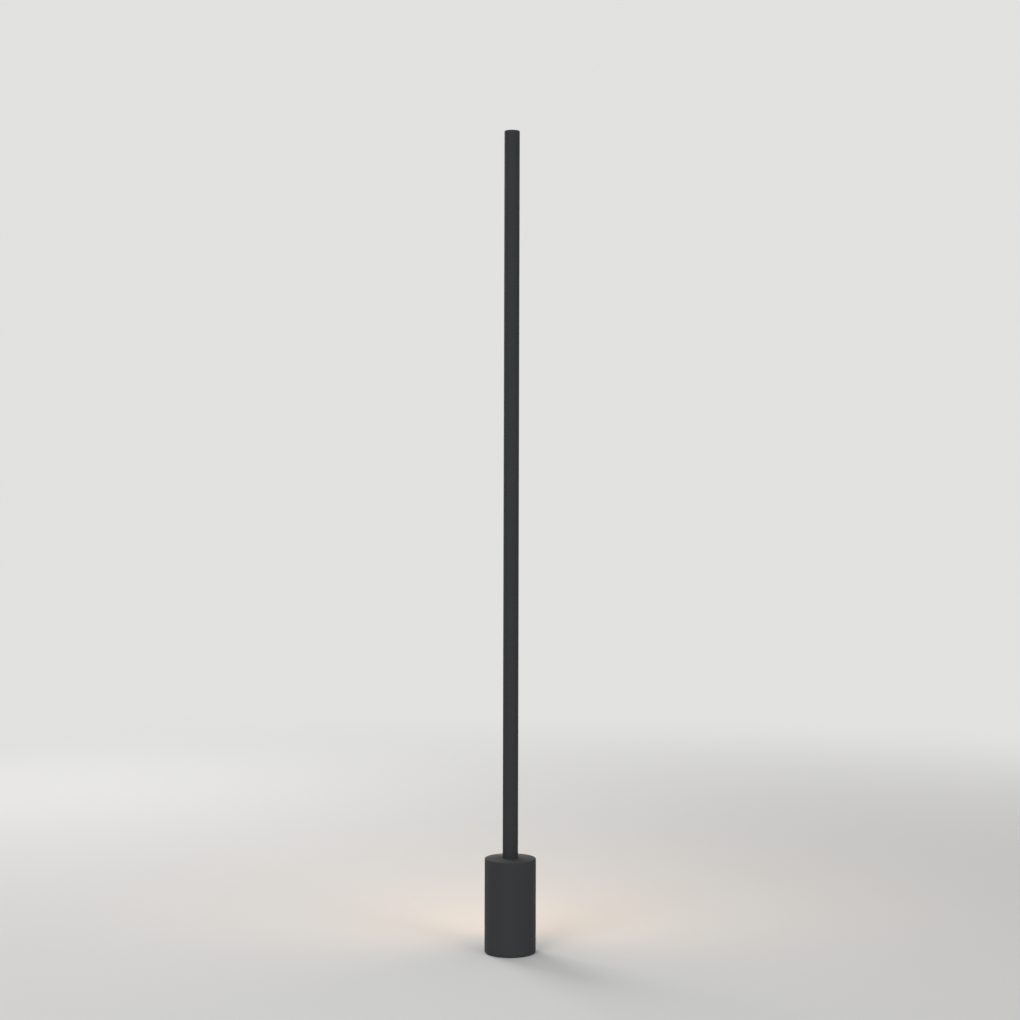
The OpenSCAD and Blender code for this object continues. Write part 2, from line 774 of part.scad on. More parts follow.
// Cross-section of the pole: round wall, shelf for the lights, two ports, rear window
module pole_section() {
    inner = pole_bore_r - 1;
    difference() {
        union() {
            difference() {
                circle(r = pole_r);
                circle(r = pole_bore_r);
            }
            intersection() {
                circle(r = pole_bore_r + pole_wall / 2);
                translate([-pole_r, shelf_y - shelf_t]) square([pole_d, shelf_t]);
            }
            at_ports() circle(r = port_r, $fn = small);
        }
        at_ports() circle(r = port_bore_r, $fn = small);
        polygon([inner * [sin(window_a), cos(window_a)],
            2 * pole_r * [sin(window_a), cos(window_a)], [2 * pole_r * sin(window_a), pole_d],
            [-2 * pole_r * sin(window_a), pole_d],
            2 * pole_r * [-sin(window_a), cos(window_a)],
            inner * [-sin(window_a), cos(window_a)]]);
    }
}

module pole_tube() {
    color("#3b3c3c") difference() {
        translate([0, 0, pole_z]) linear_extrude(pole_l) pole_section();
        for (z = board_screw_zs) at_shelf(z, shelf_y - shelf_t - over)
            cylinder(d = board_screw_d + 2 * fit, h = shelf_t + 2 * over, $fn = small);
        at_shelf(lead_hole_z, shelf_y - shelf_t - over)
            cylinder(r = lead_hole_r, h = shelf_t + 2 * over, $fn = small);
    }
}

module strip_bar(z, l, y, t) {
    difference() {
        translate([-board_w / 2, y, z]) cube([board_w, t, l]);
        for (hole_z = board_screw_zs) at_shelf(hole_z, y - over)
            cylinder(d = board_screw_d + 2 * fit, h = t + 2 * over, $fn = small);
    }
}

module thermal_tape() {
    color("#e8e8e8") strip_bar(strip_z, strip_l, shelf_y, tape_t);
}

module led_boards() {
    color("#f4f4f0") for (z = board_starts) strip_bar(z, board_l, board_y, board_t);
}

module led_chips() {
    color("#f2c84b") for (z = board_starts) for (i = [0 : chip_count - 1])
        translate([-chip[0] / 2, board_face, z + chip_start + i * chip_pitch - chip[2] / 2])
        cube(chip);
}

module board_screws() {
    color("#b9bcc0") for (z = board_screw_zs) at_shelf(z, board_face)
        pan_screw(board_screw_d, board_head_d, board_head_h,
            board_t + tape_t + shelf_t + board_screw_tail);
}

module board_links() {
    color("#f0efe9") for (i = [1 : board_count - 1])
        translate([-link[0] / 2, board_face, board_starts[i] - board_gap / 2 - link[2] / 2])
        cube(link);
}

module lead_connector() {
    color("#f0efe9") translate([0, board_face, strip_z + connector_inset]) difference() {
        translate([-connector[0] / 2, 0, 0]) cube(connector);
        for (x = [-lead_x, lead_x]) translate([x, connector[1] / 2, -over])
            cylinder(d = output_d + 2 * fit, h = over + 1.2, $fn = small);
    }
}

module lead_grommet() {
    color("#242526") at_shelf(lead_hole_z, shelf_y - shelf_t)
        rotate_extrude($fn = small) polygon([[grommet_bore_r, -grommet_lip],
            [lead_hole_r + 1, -grommet_lip], [lead_hole_r + 1, -fit], [lead_hole_r - fit, -fit],
            [lead_hole_r - fit, shelf_t + fit], [lead_hole_r + 1, shelf_t + fit],
            [lead_hole_r + 1, shelf_t + grommet_lip], [grommet_bore_r, shelf_t + grommet_lip]]);
}

// Half of the opal cover's cross-section: an arc flush with the pole and one snap leg
module diffuser_half() {
    a = window_a - window_gap_a;
    intersection() {
        union() {
            intersection() {
                difference() {
                    circle(r = pole_r);
                    circle(r = pole_r - diffuser_t);
                }
                polygon([[0, 0], 2 * pole_r * [sin(a), cos(a)], [2 * pole_r * sin(a), pole_d],
                    [-2 * pole_r * sin(a), pole_d], 2 * pole_r * [-sin(a), cos(a)]]);
            }
            polygon([[leg_x, leg_root_y], [leg_x - leg_t, leg_root_y],
                [leg_x - leg_t, barb_y - leg_tip], [leg_x, barb_y - leg_tip],
                [leg_x + barb, barb_y - barb_h], [leg_x + barb, barb_y], [leg_x, barb_y]]);
        }
        translate([-half_overlap, 0]) square(pole_d);
    }
}

module diffuser() {
    color("#f6eedd") translate([0, 0, pole_z + fit])
        linear_extrude(pole_l - fit - diffuser_end_gap) {
            diffuser_half();
            mirror([1, 0]) diffuser_half();
        }
}

module top_gasket() {
    color("#1b1c1d") translate([0, 0, pole_end_z]) difference() {
        cylinder(r = pole_r - slide, h = cap_gasket_t);
        at_ports() translate([0, 0, -over])
            cylinder(r = port_bore_r, h = cap_gasket_t + 2 * over, $fn = small);
    }
}

module top_cap() {
    color("#3b3c3c") difference() {
        translate([0, 0, cap_z]) rotate_extrude() polygon(concat([[0, 0], [pole_r, 0]],
            corner([pole_r - cap_edge_r, cap_t - cap_edge_r], cap_edge_r, 0, 90),
            [[0, cap_t]]));
        translate([0, 0, lamp_h]) mirror([0, 0, 1]) at_ports()
            csk_hole(port_screw_d, port_head_d, cap_t + over);
    }
}

module cap_screws() {
    color("#b9bcc0") translate([0, 0, lamp_h]) mirror([0, 0, 1]) at_ports()
        csk_screw(port_screw_d, port_head_d, cap_screw_l, socket_af);
}

foot_pad();
base_plate();
plate_screws();
base_gasket();
base_shell();
ballast();
ballast_screws();
driver_bracket();
bracket_screws();
driver_case();
driver_screws();
terminal_block();
block_screws();
terminal_screws();
supply_leads();
earth_lead();
earth_lug();
earth_screw();
output_leads();
gland_body();
gland_washer();
gland_seal();
gland_nut();
gland_locknut();
pole_foot();
foot_screws();
pole_nipple();
nipple_washer();
nipple_nut();
locating_pin();
pole_o_ring();
pole_tube();
thermal_tape();
led_boards();
led_chips();
board_screws();
board_links();
lead_connector();
lead_grommet();
diffuser();
top_gasket();
top_cap();
cap_screws();
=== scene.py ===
# Outdoor floor lamp: fine surfaces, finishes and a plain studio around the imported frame.
import json
import math

import bmesh
import bpy
import numpy as np
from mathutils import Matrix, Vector


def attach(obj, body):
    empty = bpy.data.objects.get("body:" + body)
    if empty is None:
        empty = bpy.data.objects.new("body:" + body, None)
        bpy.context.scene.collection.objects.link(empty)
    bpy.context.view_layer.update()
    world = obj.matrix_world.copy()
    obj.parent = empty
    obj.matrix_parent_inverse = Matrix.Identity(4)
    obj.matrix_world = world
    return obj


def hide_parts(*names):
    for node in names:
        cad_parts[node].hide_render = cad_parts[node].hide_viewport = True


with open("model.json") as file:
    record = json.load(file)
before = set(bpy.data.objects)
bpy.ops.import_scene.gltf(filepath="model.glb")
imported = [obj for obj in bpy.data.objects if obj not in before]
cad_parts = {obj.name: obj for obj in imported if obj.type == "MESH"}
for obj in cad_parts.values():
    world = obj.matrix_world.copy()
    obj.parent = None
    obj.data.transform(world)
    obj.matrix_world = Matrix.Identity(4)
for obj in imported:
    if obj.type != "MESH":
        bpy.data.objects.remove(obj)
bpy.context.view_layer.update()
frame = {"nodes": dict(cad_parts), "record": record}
print("frame loaded:", len(frame["nodes"]), "nodes")

mm = 0.001

# Place in metres, lens and sensor in millimetres, roll in degrees
eye = {"place": (-0.0023, -3.605, 0.8617), "lens": 65.29, "sensor": 36.0, "roll": 0.145,
       "clip": (0.05, 200.0)}

cameraData = bpy.data.cameras.new("camera")
cameraData.lens = eye["lens"]
cameraData.sensor_width = eye["sensor"]
cameraData.clip_start, cameraData.clip_end = eye["clip"]
camera = bpy.data.objects.new("camera", cameraData)
camera.location = eye["place"]
camera.rotation_euler = (math.radians(90), -math.radians(eye["roll"]), 0)
bpy.context.scene.collection.objects.link(camera)
bpy.context.scene.camera = camera
bpy.context.scene.view_settings.view_transform = "Standard"
print("camera set")


# Adds a node; values are its properties or, where no property has that name, its inputs.
def put(tree, kind, links=(), **values):
    node = tree.nodes.new(kind)
    for key, value in values.items():
        if hasattr(node, key):
            setattr(node, key, value)
        else:
            node.inputs[key.replace("_", " ")].default_value = value
    for source, target in links:
        tree.links.new(source, node.inputs[target])
    return node


# One Math node. a, b and c are numbers or sockets.
def math1(tree, operation, a, b=None, c=None, clamp=False):
    node = tree.nodes.new("ShaderNodeMath")
    node.operation = operation
    node.use_clamp = clamp
    for socket, value in zip(node.inputs, (a, b, c)):
        if value is None:
            continue
        if isinstance(value, (int, float)):
            socket.default_value = value
        else:
            tree.links.new(value, socket)
    return node.outputs[0]


# A value times gain plus shift, kept within 0 and 1.
def ramp(tree, value, gain, shift):
    return math1(tree, "MULTIPLY_ADD", value, gain, shift, clamp=True)


# Square root of a squared plus b squared.
def hypotenuse(tree, a, b):
    squares = [math1(tree, "MULTIPLY", side, side) for side in (a, b)]
    return math1(tree, "SQRT", math1(tree, "ADD", *squares))


# One colour Mix node. factor, a and b are values or sockets.
def blendColours(tree, factor, a, b, mode="MIX"):
    node = tree.nodes.new("ShaderNodeMix")
    node.data_type = "RGBA"
    node.blend_type = mode
    for index, value in ((0, factor), (6, a), (7, b)):  # the factor and the two colours
        if isinstance(value, (int, float)):
            node.inputs[index].default_value = value
        elif isinstance(value, tuple):
            node.inputs[index].default_value = (*value, 1.0)
        else:
            tree.links.new(value, node.inputs[index])
    return node.outputs[2]


# Noise from 0 to 1; scale is a number or a socket.
def noise(tree, at, scale, detail, rough=0.5):
    node = put(tree, "ShaderNodeTexNoise", [(at, "Vector")], Detail=detail, Roughness=rough)
    if isinstance(scale, float):
        node.inputs["Scale"].default_value = scale
    else:
        tree.links.new(scale, node.inputs["Scale"])
    return node.outputs["Fac"]


# The point on the piece, in metres from the frame's origin.
def objectPoint(tree):
    return put(tree, "ShaderNodeTexCoord").outputs["Object"]


def axesOf(tree, vector):
    return put(tree, "ShaderNodeSeparateXYZ", [(vector, "Vector")]).outputs


# Distance of the point from the middle plane x = 0.
def fromMiddle(tree):
    return math1(tree, "ABSOLUTE", axesOf(tree, objectPoint(tree))[0])


# 1 for what the camera sees, straight, in gloss or through glass; 0 for other light.
def seenRays(tree):
    rays = put(tree, "ShaderNodeLightPath").outputs
    return math1(tree, "MAXIMUM", rays["Is Camera Ray"],
                 math1(tree, "MAXIMUM", rays["Is Glossy Ray"], rays["Is Transmission Ray"]))


# An empty node group with float inputs {name: default} and named float outputs.
def newGroup(name, inputs, outputs):
    tree = bpy.data.node_groups.new(name, "ShaderNodeTree")
    for key, value in inputs.items():
        tree.interface.new_socket(name=key, in_out="INPUT",
                                  socket_type="NodeSocketFloat").default_value = value
    for key in outputs:
        tree.interface.new_socket(name=key, in_out="OUTPUT", socket_type="NodeSocketFloat")
    return (tree, tree.nodes.new("NodeGroupInput").outputs,
            tree.nodes.new("NodeGroupOutput").inputs)


def useGroup(tree, group, **values):
    node = tree.nodes.new("ShaderNodeGroup")
    node.node_tree = group
    for key, value in values.items():
        node.inputs[key].default_value = value
    return node.outputs


# A material with one Principled shader; returns the material, its tree and the shader.
def newFinish(name, **shader):
    material = bpy.data.materials.new(name)
    material.use_nodes = True
    tree = material.node_tree
    principled = tree.nodes["Principled BSDF"]
    for key, value in shader.items():
        principled.inputs[key.replace("_", " ")].default_value = value
    return material, tree, principled


# Base colour between two, by a mask.
def colourBy(tree, shader, mask, low, high):
    tree.links.new(blendColours(tree, mask, low, high), shader.inputs["Base Color"])


# Roughness from least, where the tone is 0, to least plus spread, where it is 1.
def roughenBy(tree, shader, tone, spread, least):
    tree.links.new(math1(tree, "MULTIPLY_ADD", tone, spread, least),
                   shader.inputs["Roughness"])


def bumpInto(tree, shader, height, distance):
    node = put(tree, "ShaderNodeBump", [(height, "Height")], Strength=1.0, Distance=distance)
    tree.links.new(node.outputs["Normal"], shader.inputs["Normal"])


# Repeats in a metre: grain and clouding of the coat, lumps of its wear, patches of dust
scales = {"pebbles": 1500.0, "peel": 420.0, "cloud": 9.0, "lumps": 160.0, "patches": 45.0,
          "specks": 1400.0}


# Fine texture of a powder coat: small pebbles from Voronoi cells, on a broad orange peel.
def makePowderGrain():
    tree, given, out = newGroup("powderGrain", {"Fineness": 1.0}, ["Height", "Tone"])
    at = objectPoint(tree)
    cells = put(tree, "ShaderNodeTexVoronoi", [(at, "Vector")], feature="SMOOTH_F1",
                Smoothness=0.6)
    tree.links.new(math1(tree, "MULTIPLY", given["Fineness"], scales["pebbles"]),
                   cells.inputs["Scale"])
    pebbles = cells.outputs["Distance"]
    peel = noise(tree, at, math1(tree, "MULTIPLY", given["Fineness"], scales["peel"]), 3.0)
    cloud = noise(tree, at, scales["cloud"], 4.0, 0.55)
    tree.links.new(math1(tree, "ADD", math1(tree, "MULTIPLY", pebbles, -0.8),
                         math1(tree, "MULTIPLY", peel, 0.8)), out["Height"])
    tone = math1(tree, "ADD", math1(tree, "MULTIPLY", peel, 0.4),
                 math1(tree, "MULTIPLY", cloud, 0.5))
    tree.links.new(math1(tree, "MULTIPLY_ADD", pebbles, -0.3, math1(tree, "ADD", tone, 0.17)),
                   out["Tone"])
    return tree


# Mask of a rubbed edge: near 1 on a ring of given height and radius, broken up by noise.
def makeRimWear():
    tree, given, out = newGroup("rimWear", {"Level": 0.0, "Radius": 0.0, "Reach": 0.002},
                                ["Mask"])
    at = objectPoint(tree)
    x, y, z = axesOf(tree, at)
    up = math1(tree, "SUBTRACT", z, given["Level"])
    side = math1(tree, "SUBTRACT", hypotenuse(tree, x, y), given["Radius"])
    far = math1(tree, "DIVIDE", hypotenuse(tree, up, side), given["Reach"])
    near = math1(tree, "SUBTRACT", 1.0, far, clamp=True)
    lumps = ramp(tree, noise(tree, at, scales["lumps"], 5.0, 0.65), 3.0, -1.1)
    tree.links.new(math1(tree, "MULTIPLY", near, lumps), out["Mask"])
    return tree


# Mask of dust: on faces that look up, thicker in patches and with fine specks.
def makeSettledDust():
    tree, given, out = newGroup("settledDust", {"Amount": 0.3}, ["Mask"])
    at = objectPoint(tree)
    facing = put(tree, "ShaderNodeNewGeometry").outputs["Normal"]
    up = ramp(tree, axesOf(tree, facing)[2], 1.6, -0.6)
    patches = ramp(tree, noise(tree, at, scales["patches"], 5.0, 0.6), 1.8, -0.4)
    specks = ramp(tree, noise(tree, at, scales["specks"], 2.0), 2.2, -0.5)
    lying = math1(tree, "MULTIPLY", up, math1(tree, "MULTIPLY", patches, specks))
    tree.links.new(math1(tree, "MULTIPLY", lying, given["Amount"]), out["Mask"])
    return tree


# Fine lines left by drawing or brushing: noise stretched along z, close set across it.
def makeDrawnLines():
    tree, given, out = newGroup("drawnLines", {"Across": 900.0, "Along": 6.0}, ["Height"])
    at = objectPoint(tree)
    scale = put(tree, "ShaderNodeCombineXYZ", [(given["Across"], "X"), (given["Across"], "Y"),
                                               (given["Along"], "Z")]).outputs[0]
    stretched = put(tree, "ShaderNodeVectorMath", [(at, 0), (scale, 1)], operation="MULTIPLY")
    tree.links.new(noise(tree, stretched.outputs[0], 1.0, 3.0, 0.6), out["Height"])
    return tree


# Plain unevenness of a moulded or cast surface, broad and fine.
def makeMottle():
    tree, given, out = newGroup("mottle", {"Broad": 60.0, "Fine": 900.0}, ["Tone", "Height"])
    at = objectPoint(tree)
    broad = noise(tree, at, given["Broad"], 4.0, 0.6)
    fine = noise(tree, at, given["Fine"], 3.0, 0.6)
    tree.links.new(math1(tree, "MULTIPLY_ADD", fine, 0.4, math1(tree, "MULTIPLY", broad, 0.6)),
                   out["Tone"])
    tree.links.new(math1(tree, "MULTIPLY_ADD", broad, 0.3, math1(tree, "MULTIPLY", fine, 0.7)),
                   out["Height"])
    return tree


powderGrain = makePowderGrain()
rimWear = makeRimWear()
settledDust = makeSettledDust()
drawnLines = makeDrawnLines()
mottle = makeMottle()


coat = {"dark": (0.037, 0.0385, 0.0405), "light": (0.0475, 0.049, 0.051),
        "worn": (0.085, 0.087, 0.09), "dust": (0.16, 0.155, 0.145), "wear": 0.55,
        "rough": 0.72, "roughSpread": 0.16, "rubbed": 0.12, "dusty": 0.25, "shine": 0.14,
        "grain": 0.0002}


# Anthracite powder coat: grained, a little cloudy, dusty on top and rubbed at its rims, its
# colours scaled by depth, which paints light and shade. Each rim is a height, a radius and a
# reach in millimetres.
def powderCoat(name, fineness, rims, dust, depth, lines=False):
    material, tree, shader = newFinish(name, Specular_IOR_Level=coat["shine"])
    grain = useGroup(tree, powderGrain, Fineness=fineness)
    # depth scales both colours of the coat. This paints light and shade: a lighter copy of the
    # one coat on the shell and a darker copy on the pole.
    dark, light = (tuple(c * depth for c in coat[key]) for key in ("dark", "light"))
    colour = blendColours(tree, ramp(tree, grain["Tone"], 2.4, -0.7), dark, light)
    rough = math1(tree, "MULTIPLY_ADD", grain["Tone"], coat["roughSpread"],
                  coat["rough"] - coat["roughSpread"] / 2)
    for level, radius, reach in rims:
        mask = useGroup(tree, rimWear, Level=level * mm, Radius=radius * mm,
                        Reach=reach * mm)["Mask"]
        colour = blendColours(tree, math1(tree, "MULTIPLY", mask, coat["wear"]), colour,
                              coat["worn"])
        rough = math1(tree, "SUBTRACT", rough, math1(tree, "MULTIPLY", mask, coat["rubbed"]))
    settled = useGroup(tree, settledDust, Amount=dust)["Mask"]
    colourBy(tree, shader, settled, colour, coat["dust"])
    rough = math1(tree, "ADD", rough, math1(tree, "MULTIPLY", settled, coat["dusty"]),
                  clamp=True)
    tree.links.new(rough, shader.inputs["Roughness"])
    height = grain["Height"]
    if lines:  # the die's lines of the extrusion, filled in by the coat
        drawn = useGroup(tree, drawnLines, Across=700.0, Along=0.4)["Height"]
        height = math1(tree, "MULTIPLY_ADD", drawn, 0.3, height)
    bumpInto(tree, shader, height, coat["grain"])
    return material


# Black rubber: dull, faintly greyed in patches, with a fine moulded grain and grit.
def rubber(name, colour, rough, grit):
    material, tree, shader = newFinish(name, Specular_IOR_Level=0.35)
    even = useGroup(tree, mottle, Broad=70.0, Fine=1500.0)
    greyed = tuple(c * 2.2 + 0.006 for c in colour)
    colourBy(tree, shader, ramp(tree, even["Tone"], 2.6, -0.9), colour, greyed)
    roughenBy(tree, shader, even["Tone"], 0.2, rough - 0.1)
    bumpInto(tree, shader, even["Height"], grit)
    return material


# Moulded plastic: even colour with slight flow marks and a fine eroded grain.
def mouldedPlastic(name, colour, rough, fine=1100.0, depth=0.00003):
    material, tree, shader = newFinish(name)
    even = useGroup(tree, mottle, Broad=40.0, Fine=fine)
    shade = tuple(c * 0.82 for c in colour)
    colourBy(tree, shader, ramp(tree, even["Tone"], 2.0, -0.6), shade, colour)
    roughenBy(tree, shader, even["Tone"], 0.14, rough - 0.07)
    bumpInto(tree, shader, even["Height"], depth)
    return material


# Bare metal: drawn or brushed lines, smudges that dull it, and a stain in patches.
def plainMetal(name, colour, rough, across, along, depth, stain=None):
    material, tree, shader = newFinish(name, Metallic=1.0)
    drawn = useGroup(tree, drawnLines, Across=across, Along=along)["Height"]
    even = useGroup(tree, mottle, Broad=90.0, Fine=1200.0)
    patch = ramp(tree, even["Tone"], 3.0, -1.2)
    colourBy(tree, shader, math1(tree, "MULTIPLY", patch, 0.7), colour,
             stain or tuple(c * 0.78 for c in colour))
    roughenBy(tree, shader, drawn, 0.22,
              math1(tree, "MULTIPLY_ADD", patch, 0.12, rough - 0.15))
    bumpInto(tree, shader, drawn, depth)
    return material


# Dark cast iron: coarse sand-cast skin, brown in its hollows.
def castIron(name, hollow, skin):
    material, tree, shader = newFinish(name, Metallic=0.5)
    even = useGroup(tree, mottle, Broad=120.0, Fine=700.0)
    colourBy(tree, shader, ramp(tree, even["Tone"], 3.2, -1.2), hollow, skin)
    roughenBy(tree, shader, even["Tone"], 0.3, 0.55)
    bumpInto(tree, shader, even["Height"], 0.0004)
    return material


stripeHalf = 0.5  # millimetres


# Insulated lead, with a stripe of the second colour along x = 0 where one is given.
def insulation(name, colour, stripe=None):
    material, tree, shader = newFinish(name, Coat_Weight=0.15)
    even = useGroup(tree, mottle, Broad=80.0, Fine=900.0)
    tone = blendColours(tree, ramp(tree, even["Tone"], 1.6, -0.4),
                        tuple(c * 0.8 for c in colour), colour)
    if stripe:
        band = math1(tree, "LESS_THAN", fromMiddle(tree), stripeHalf * mm)
        tone = blendColours(tree, band, tone, stripe)
    tree.links.new(tone, shader.inputs["Base Color"])
    roughenBy(tree, shader, even["Tone"], 0.12, 0.36)
    bumpInto(tree, shader, even["Height"], 0.00002)
    return material


strip = {"start": 214.0, "end": 1581.0, "pitch": 16.5, "half": 12.5, "reach": 22.0,
         "bead": 0.035, "unlit": 0.2, "hot": (1.0, 0.8, 0.5), "edge": (0.86, 0.54, 0.24),
         "strength": 0.62}


# Lit opal cover: brightest along its middle, 1 - (x / half)^2, with soft beads at the lights,
# a cosine of the height, and dim past both ends of the strip.
def opalCover(name):
    material, tree, shader = newFinish(name, Emission_Strength=strip["strength"],
                                       Specular_IOR_Level=0.5)
    x, _, z = axesOf(tree, objectPoint(tree))
    side = math1(tree, "DIVIDE", math1(tree, "ABSOLUTE", x), strip["half"] * mm)
    middle = math1(tree, "SUBTRACT", 1.0, math1(tree, "POWER", side, 2.0), clamp=True)
    turn = math1(tree, "MULTIPLY", z, 2 * math.pi / (strip["pitch"] * mm))
    beads = math1(tree, "MULTIPLY_ADD", math1(tree, "COSINE", turn), strip["bead"],
                  1 - strip["bead"])
    reach = strip["reach"] * mm
    low = math1(tree, "DIVIDE", math1(tree, "SUBTRACT", z, strip["start"] * mm - reach),
                reach, clamp=True)
    high = math1(tree, "DIVIDE", math1(tree, "SUBTRACT", strip["end"] * mm + reach, z),
                 reach, clamp=True)
    lit = math1(tree, "MULTIPLY", math1(tree, "MULTIPLY", low, high), beads)
    lit = math1(tree, "MULTIPLY_ADD", lit, 1 - strip["unlit"], strip["unlit"])
    even = useGroup(tree, mottle, Broad=25.0, Fine=700.0)
    colour = blendColours(tree, math1(tree, "POWER", middle, 0.7), strip["edge"], strip["hot"])
    level = put(tree, "ShaderNodeCombineColor", [(lit, 0), (lit, 1), (lit, 2)]).outputs[0]
    tree.links.new(blendColours(tree, 1.0, colour, level, "MULTIPLY"),
                   shader.inputs["Emission Color"])
    colourBy(tree, shader, even["Tone"], (0.62, 0.6, 0.56), (0.72, 0.7, 0.65))
    roughenBy(tree, shader, even["Tone"], 0.15, 0.32)
    drawn = useGroup(tree, drawnLines, Across=500.0, Along=0.5)["Height"]
    bumpInto(tree, shader, drawn, 0.00003)
    return material


board = {"runAt": 3.8, "runHalf": 1.1, "run": (0.8, 0.76, 0.68)}


# White circuit board: two raised copper runs under the mask and a grained edge.
def lightBoard(name):
    material, tree, shader = newFinish(name, Coat_Weight=0.3)
    off = math1(tree, "ABSOLUTE", math1(tree, "SUBTRACT", fromMiddle(tree),
                                        board["runAt"] * mm))
    run = math1(tree, "LESS_THAN", off, board["runHalf"] * mm)
    even = useGroup(tree, mottle, Broad=50.0, Fine=900.0)
    white = blendColours(tree, even["Tone"], (0.78, 0.78, 0.75), (0.88, 0.88, 0.86))
    colourBy(tree, shader, math1(tree, "MULTIPLY", run, 0.5), white, board["run"])
    roughenBy(tree, shader, even["Tone"], 0.15, 0.35)
    bumpInto(tree, shader, math1(tree, "MULTIPLY_ADD", even["Height"], 0.2, run), 0.00004)
    return material


chip = {"gelHalf": 1.05, "frame": (0.85, 0.85, 0.82), "frameGlow": (0.1, 0.08, 0.05),
        "gelGlow": (1.0, 0.8, 0.5)}


# Light-emitting chip: yellow phosphor in a white frame, lit warm.
def lightChip(name):
    material, tree, shader = newFinish(name, Emission_Strength=1.0)
    gel = math1(tree, "LESS_THAN", fromMiddle(tree), chip["gelHalf"] * mm)
    even = useGroup(tree, mottle, Broad=300.0, Fine=2500.0)
    yellow = blendColours(tree, even["Tone"], (0.8, 0.5, 0.04), (0.92, 0.68, 0.12))
    colourBy(tree, shader, gel, chip["frame"], yellow)
    tree.links.new(blendColours(tree, gel, chip["frameGlow"], chip["gelGlow"]),
                   shader.inputs["Emission Color"])
    roughenBy(tree, shader, even["Tone"], 0.2, 0.25)
    bumpInto(tree, shader, even["Height"], 0.00003)
    return material


finishes = {
    "foot_rubber": rubber("footRubber", (0.012, 0.012, 0.012), rough=0.8, grit=0.00012),
    "seal_rubber": rubber("sealRubber", (0.015, 0.015, 0.016), rough=0.6, grit=0.00004),
    # shell_coat and pole_coat are the same anthracite coat. Their depths, 1.12 and 0.98, paint
    # the shell lighter and the pole darker, as painted light and shade.
    "shell_coat": powderCoat("shellCoat", fineness=1.0, dust=0.13, depth=1.12,
                             rims=[(183.2, 49.2, 2.0), (2.2, 49.8, 1.2)]),
    "pole_coat": powderCoat("poleCoat", fineness=1.15, dust=0.13, depth=0.98,
                            rims=[(1599.6, 14.6, 1.1)], lines=True),
    "bare_aluminium": plainMetal("milledAluminium", (0.62, 0.63, 0.64), rough=0.42,
                                 across=700.0, along=500.0, depth=0.00003),
    "plate_steel": plainMetal("zincedSteel", (0.52, 0.53, 0.55), rough=0.45, across=260.0,
                              along=240.0, depth=0.00004, stain=(0.5, 0.47, 0.36)),
    "screw_steel": plainMetal("stainlessSteel", (0.6, 0.6, 0.62), rough=0.34,
                              across=1800.0, along=1500.0, depth=0.00002),
    "ballast_iron": castIron("castIron", (0.1, 0.062, 0.04), (0.085, 0.082, 0.08)),
    "gland_nylon": mouldedPlastic("blackNylon", (0.02, 0.02, 0.021), rough=0.42),
    "driver_plastic": mouldedPlastic("driverPlastic", (0.6, 0.61, 0.6), rough=0.5),
    "block_plastic": mouldedPlastic("blockPlastic", (0.78, 0.76, 0.7), rough=0.42),
    "clamp_brass": plainMetal("brass", (0.62, 0.46, 0.19), rough=0.36, across=900.0,
                              along=700.0, depth=0.00002),
    "lead_blue": insulation("leadBlue", (0.05, 0.15, 0.42)),
    "lead_green": insulation("leadGreen", (0.08, 0.3, 0.05), stripe=(0.75, 0.62, 0.05)),
    "lead_grey": insulation("leadGrey", (0.55, 0.55, 0.53)),
    "tape_white": mouldedPlastic("thermalTape", (0.8, 0.8, 0.8), rough=0.7, fine=600.0,
                                 depth=0.00006),
    "board_white": lightBoard("lightBoard"),
    "chip_phosphor": lightChip("lightChip"),
    "opal_cover": opalCover("opalCover"),
}

slotOf = {row["node"]: row["material_slot"] for row in frame["record"]["subparts"]}
for nodeName, node in frame["nodes"].items():
    node.data.materials.clear()
    node.data.materials.append(finishes[slotOf[nodeName]])
print("finishes made:", len(finishes))


# Sizes of the pieces are in millimetres, in the frame's own axes.

# Quads of a tube whose points run round its rows: point (i, j) is start + i * columns + j.
# With wrap, the last row is joined to the first, which closes a ring.
def tubeFaces(rows, columns, start, wrap=False):
    i = np.arange(rows if wrap else rows - 1)[:, None]
    j = np.arange(columns)[None, :]
    after, beside = (i + 1) % rows, (j + 1) % columns
    quads = np.stack([i * columns + j, i * columns + beside, after * columns + beside,
                      after * columns + j], axis=-1)
    return quads.reshape(-1, 4) + start


# Points and quads of several tubes of rows together, and the loops of their first and last
# rows.
def stackTubes(tubes):
    starts = np.cumsum([0] + [rows.shape[0] * rows.shape[1] for rows in tubes])
    points = np.concatenate([rows.reshape(-1, 3) for rows in tubes])
    faces = np.concatenate([tubeFaces(*rows.shape[:2], start)
                            for rows, start in zip(tubes, starts)])
    first = [start + np.arange(rows.shape[1]) for rows, start in zip(tubes, starts)]
    last = [loop + (rows.shape[0] - 1) * rows.shape[1] for rows, loop in zip(tubes, first)]
    return points, faces, first, last


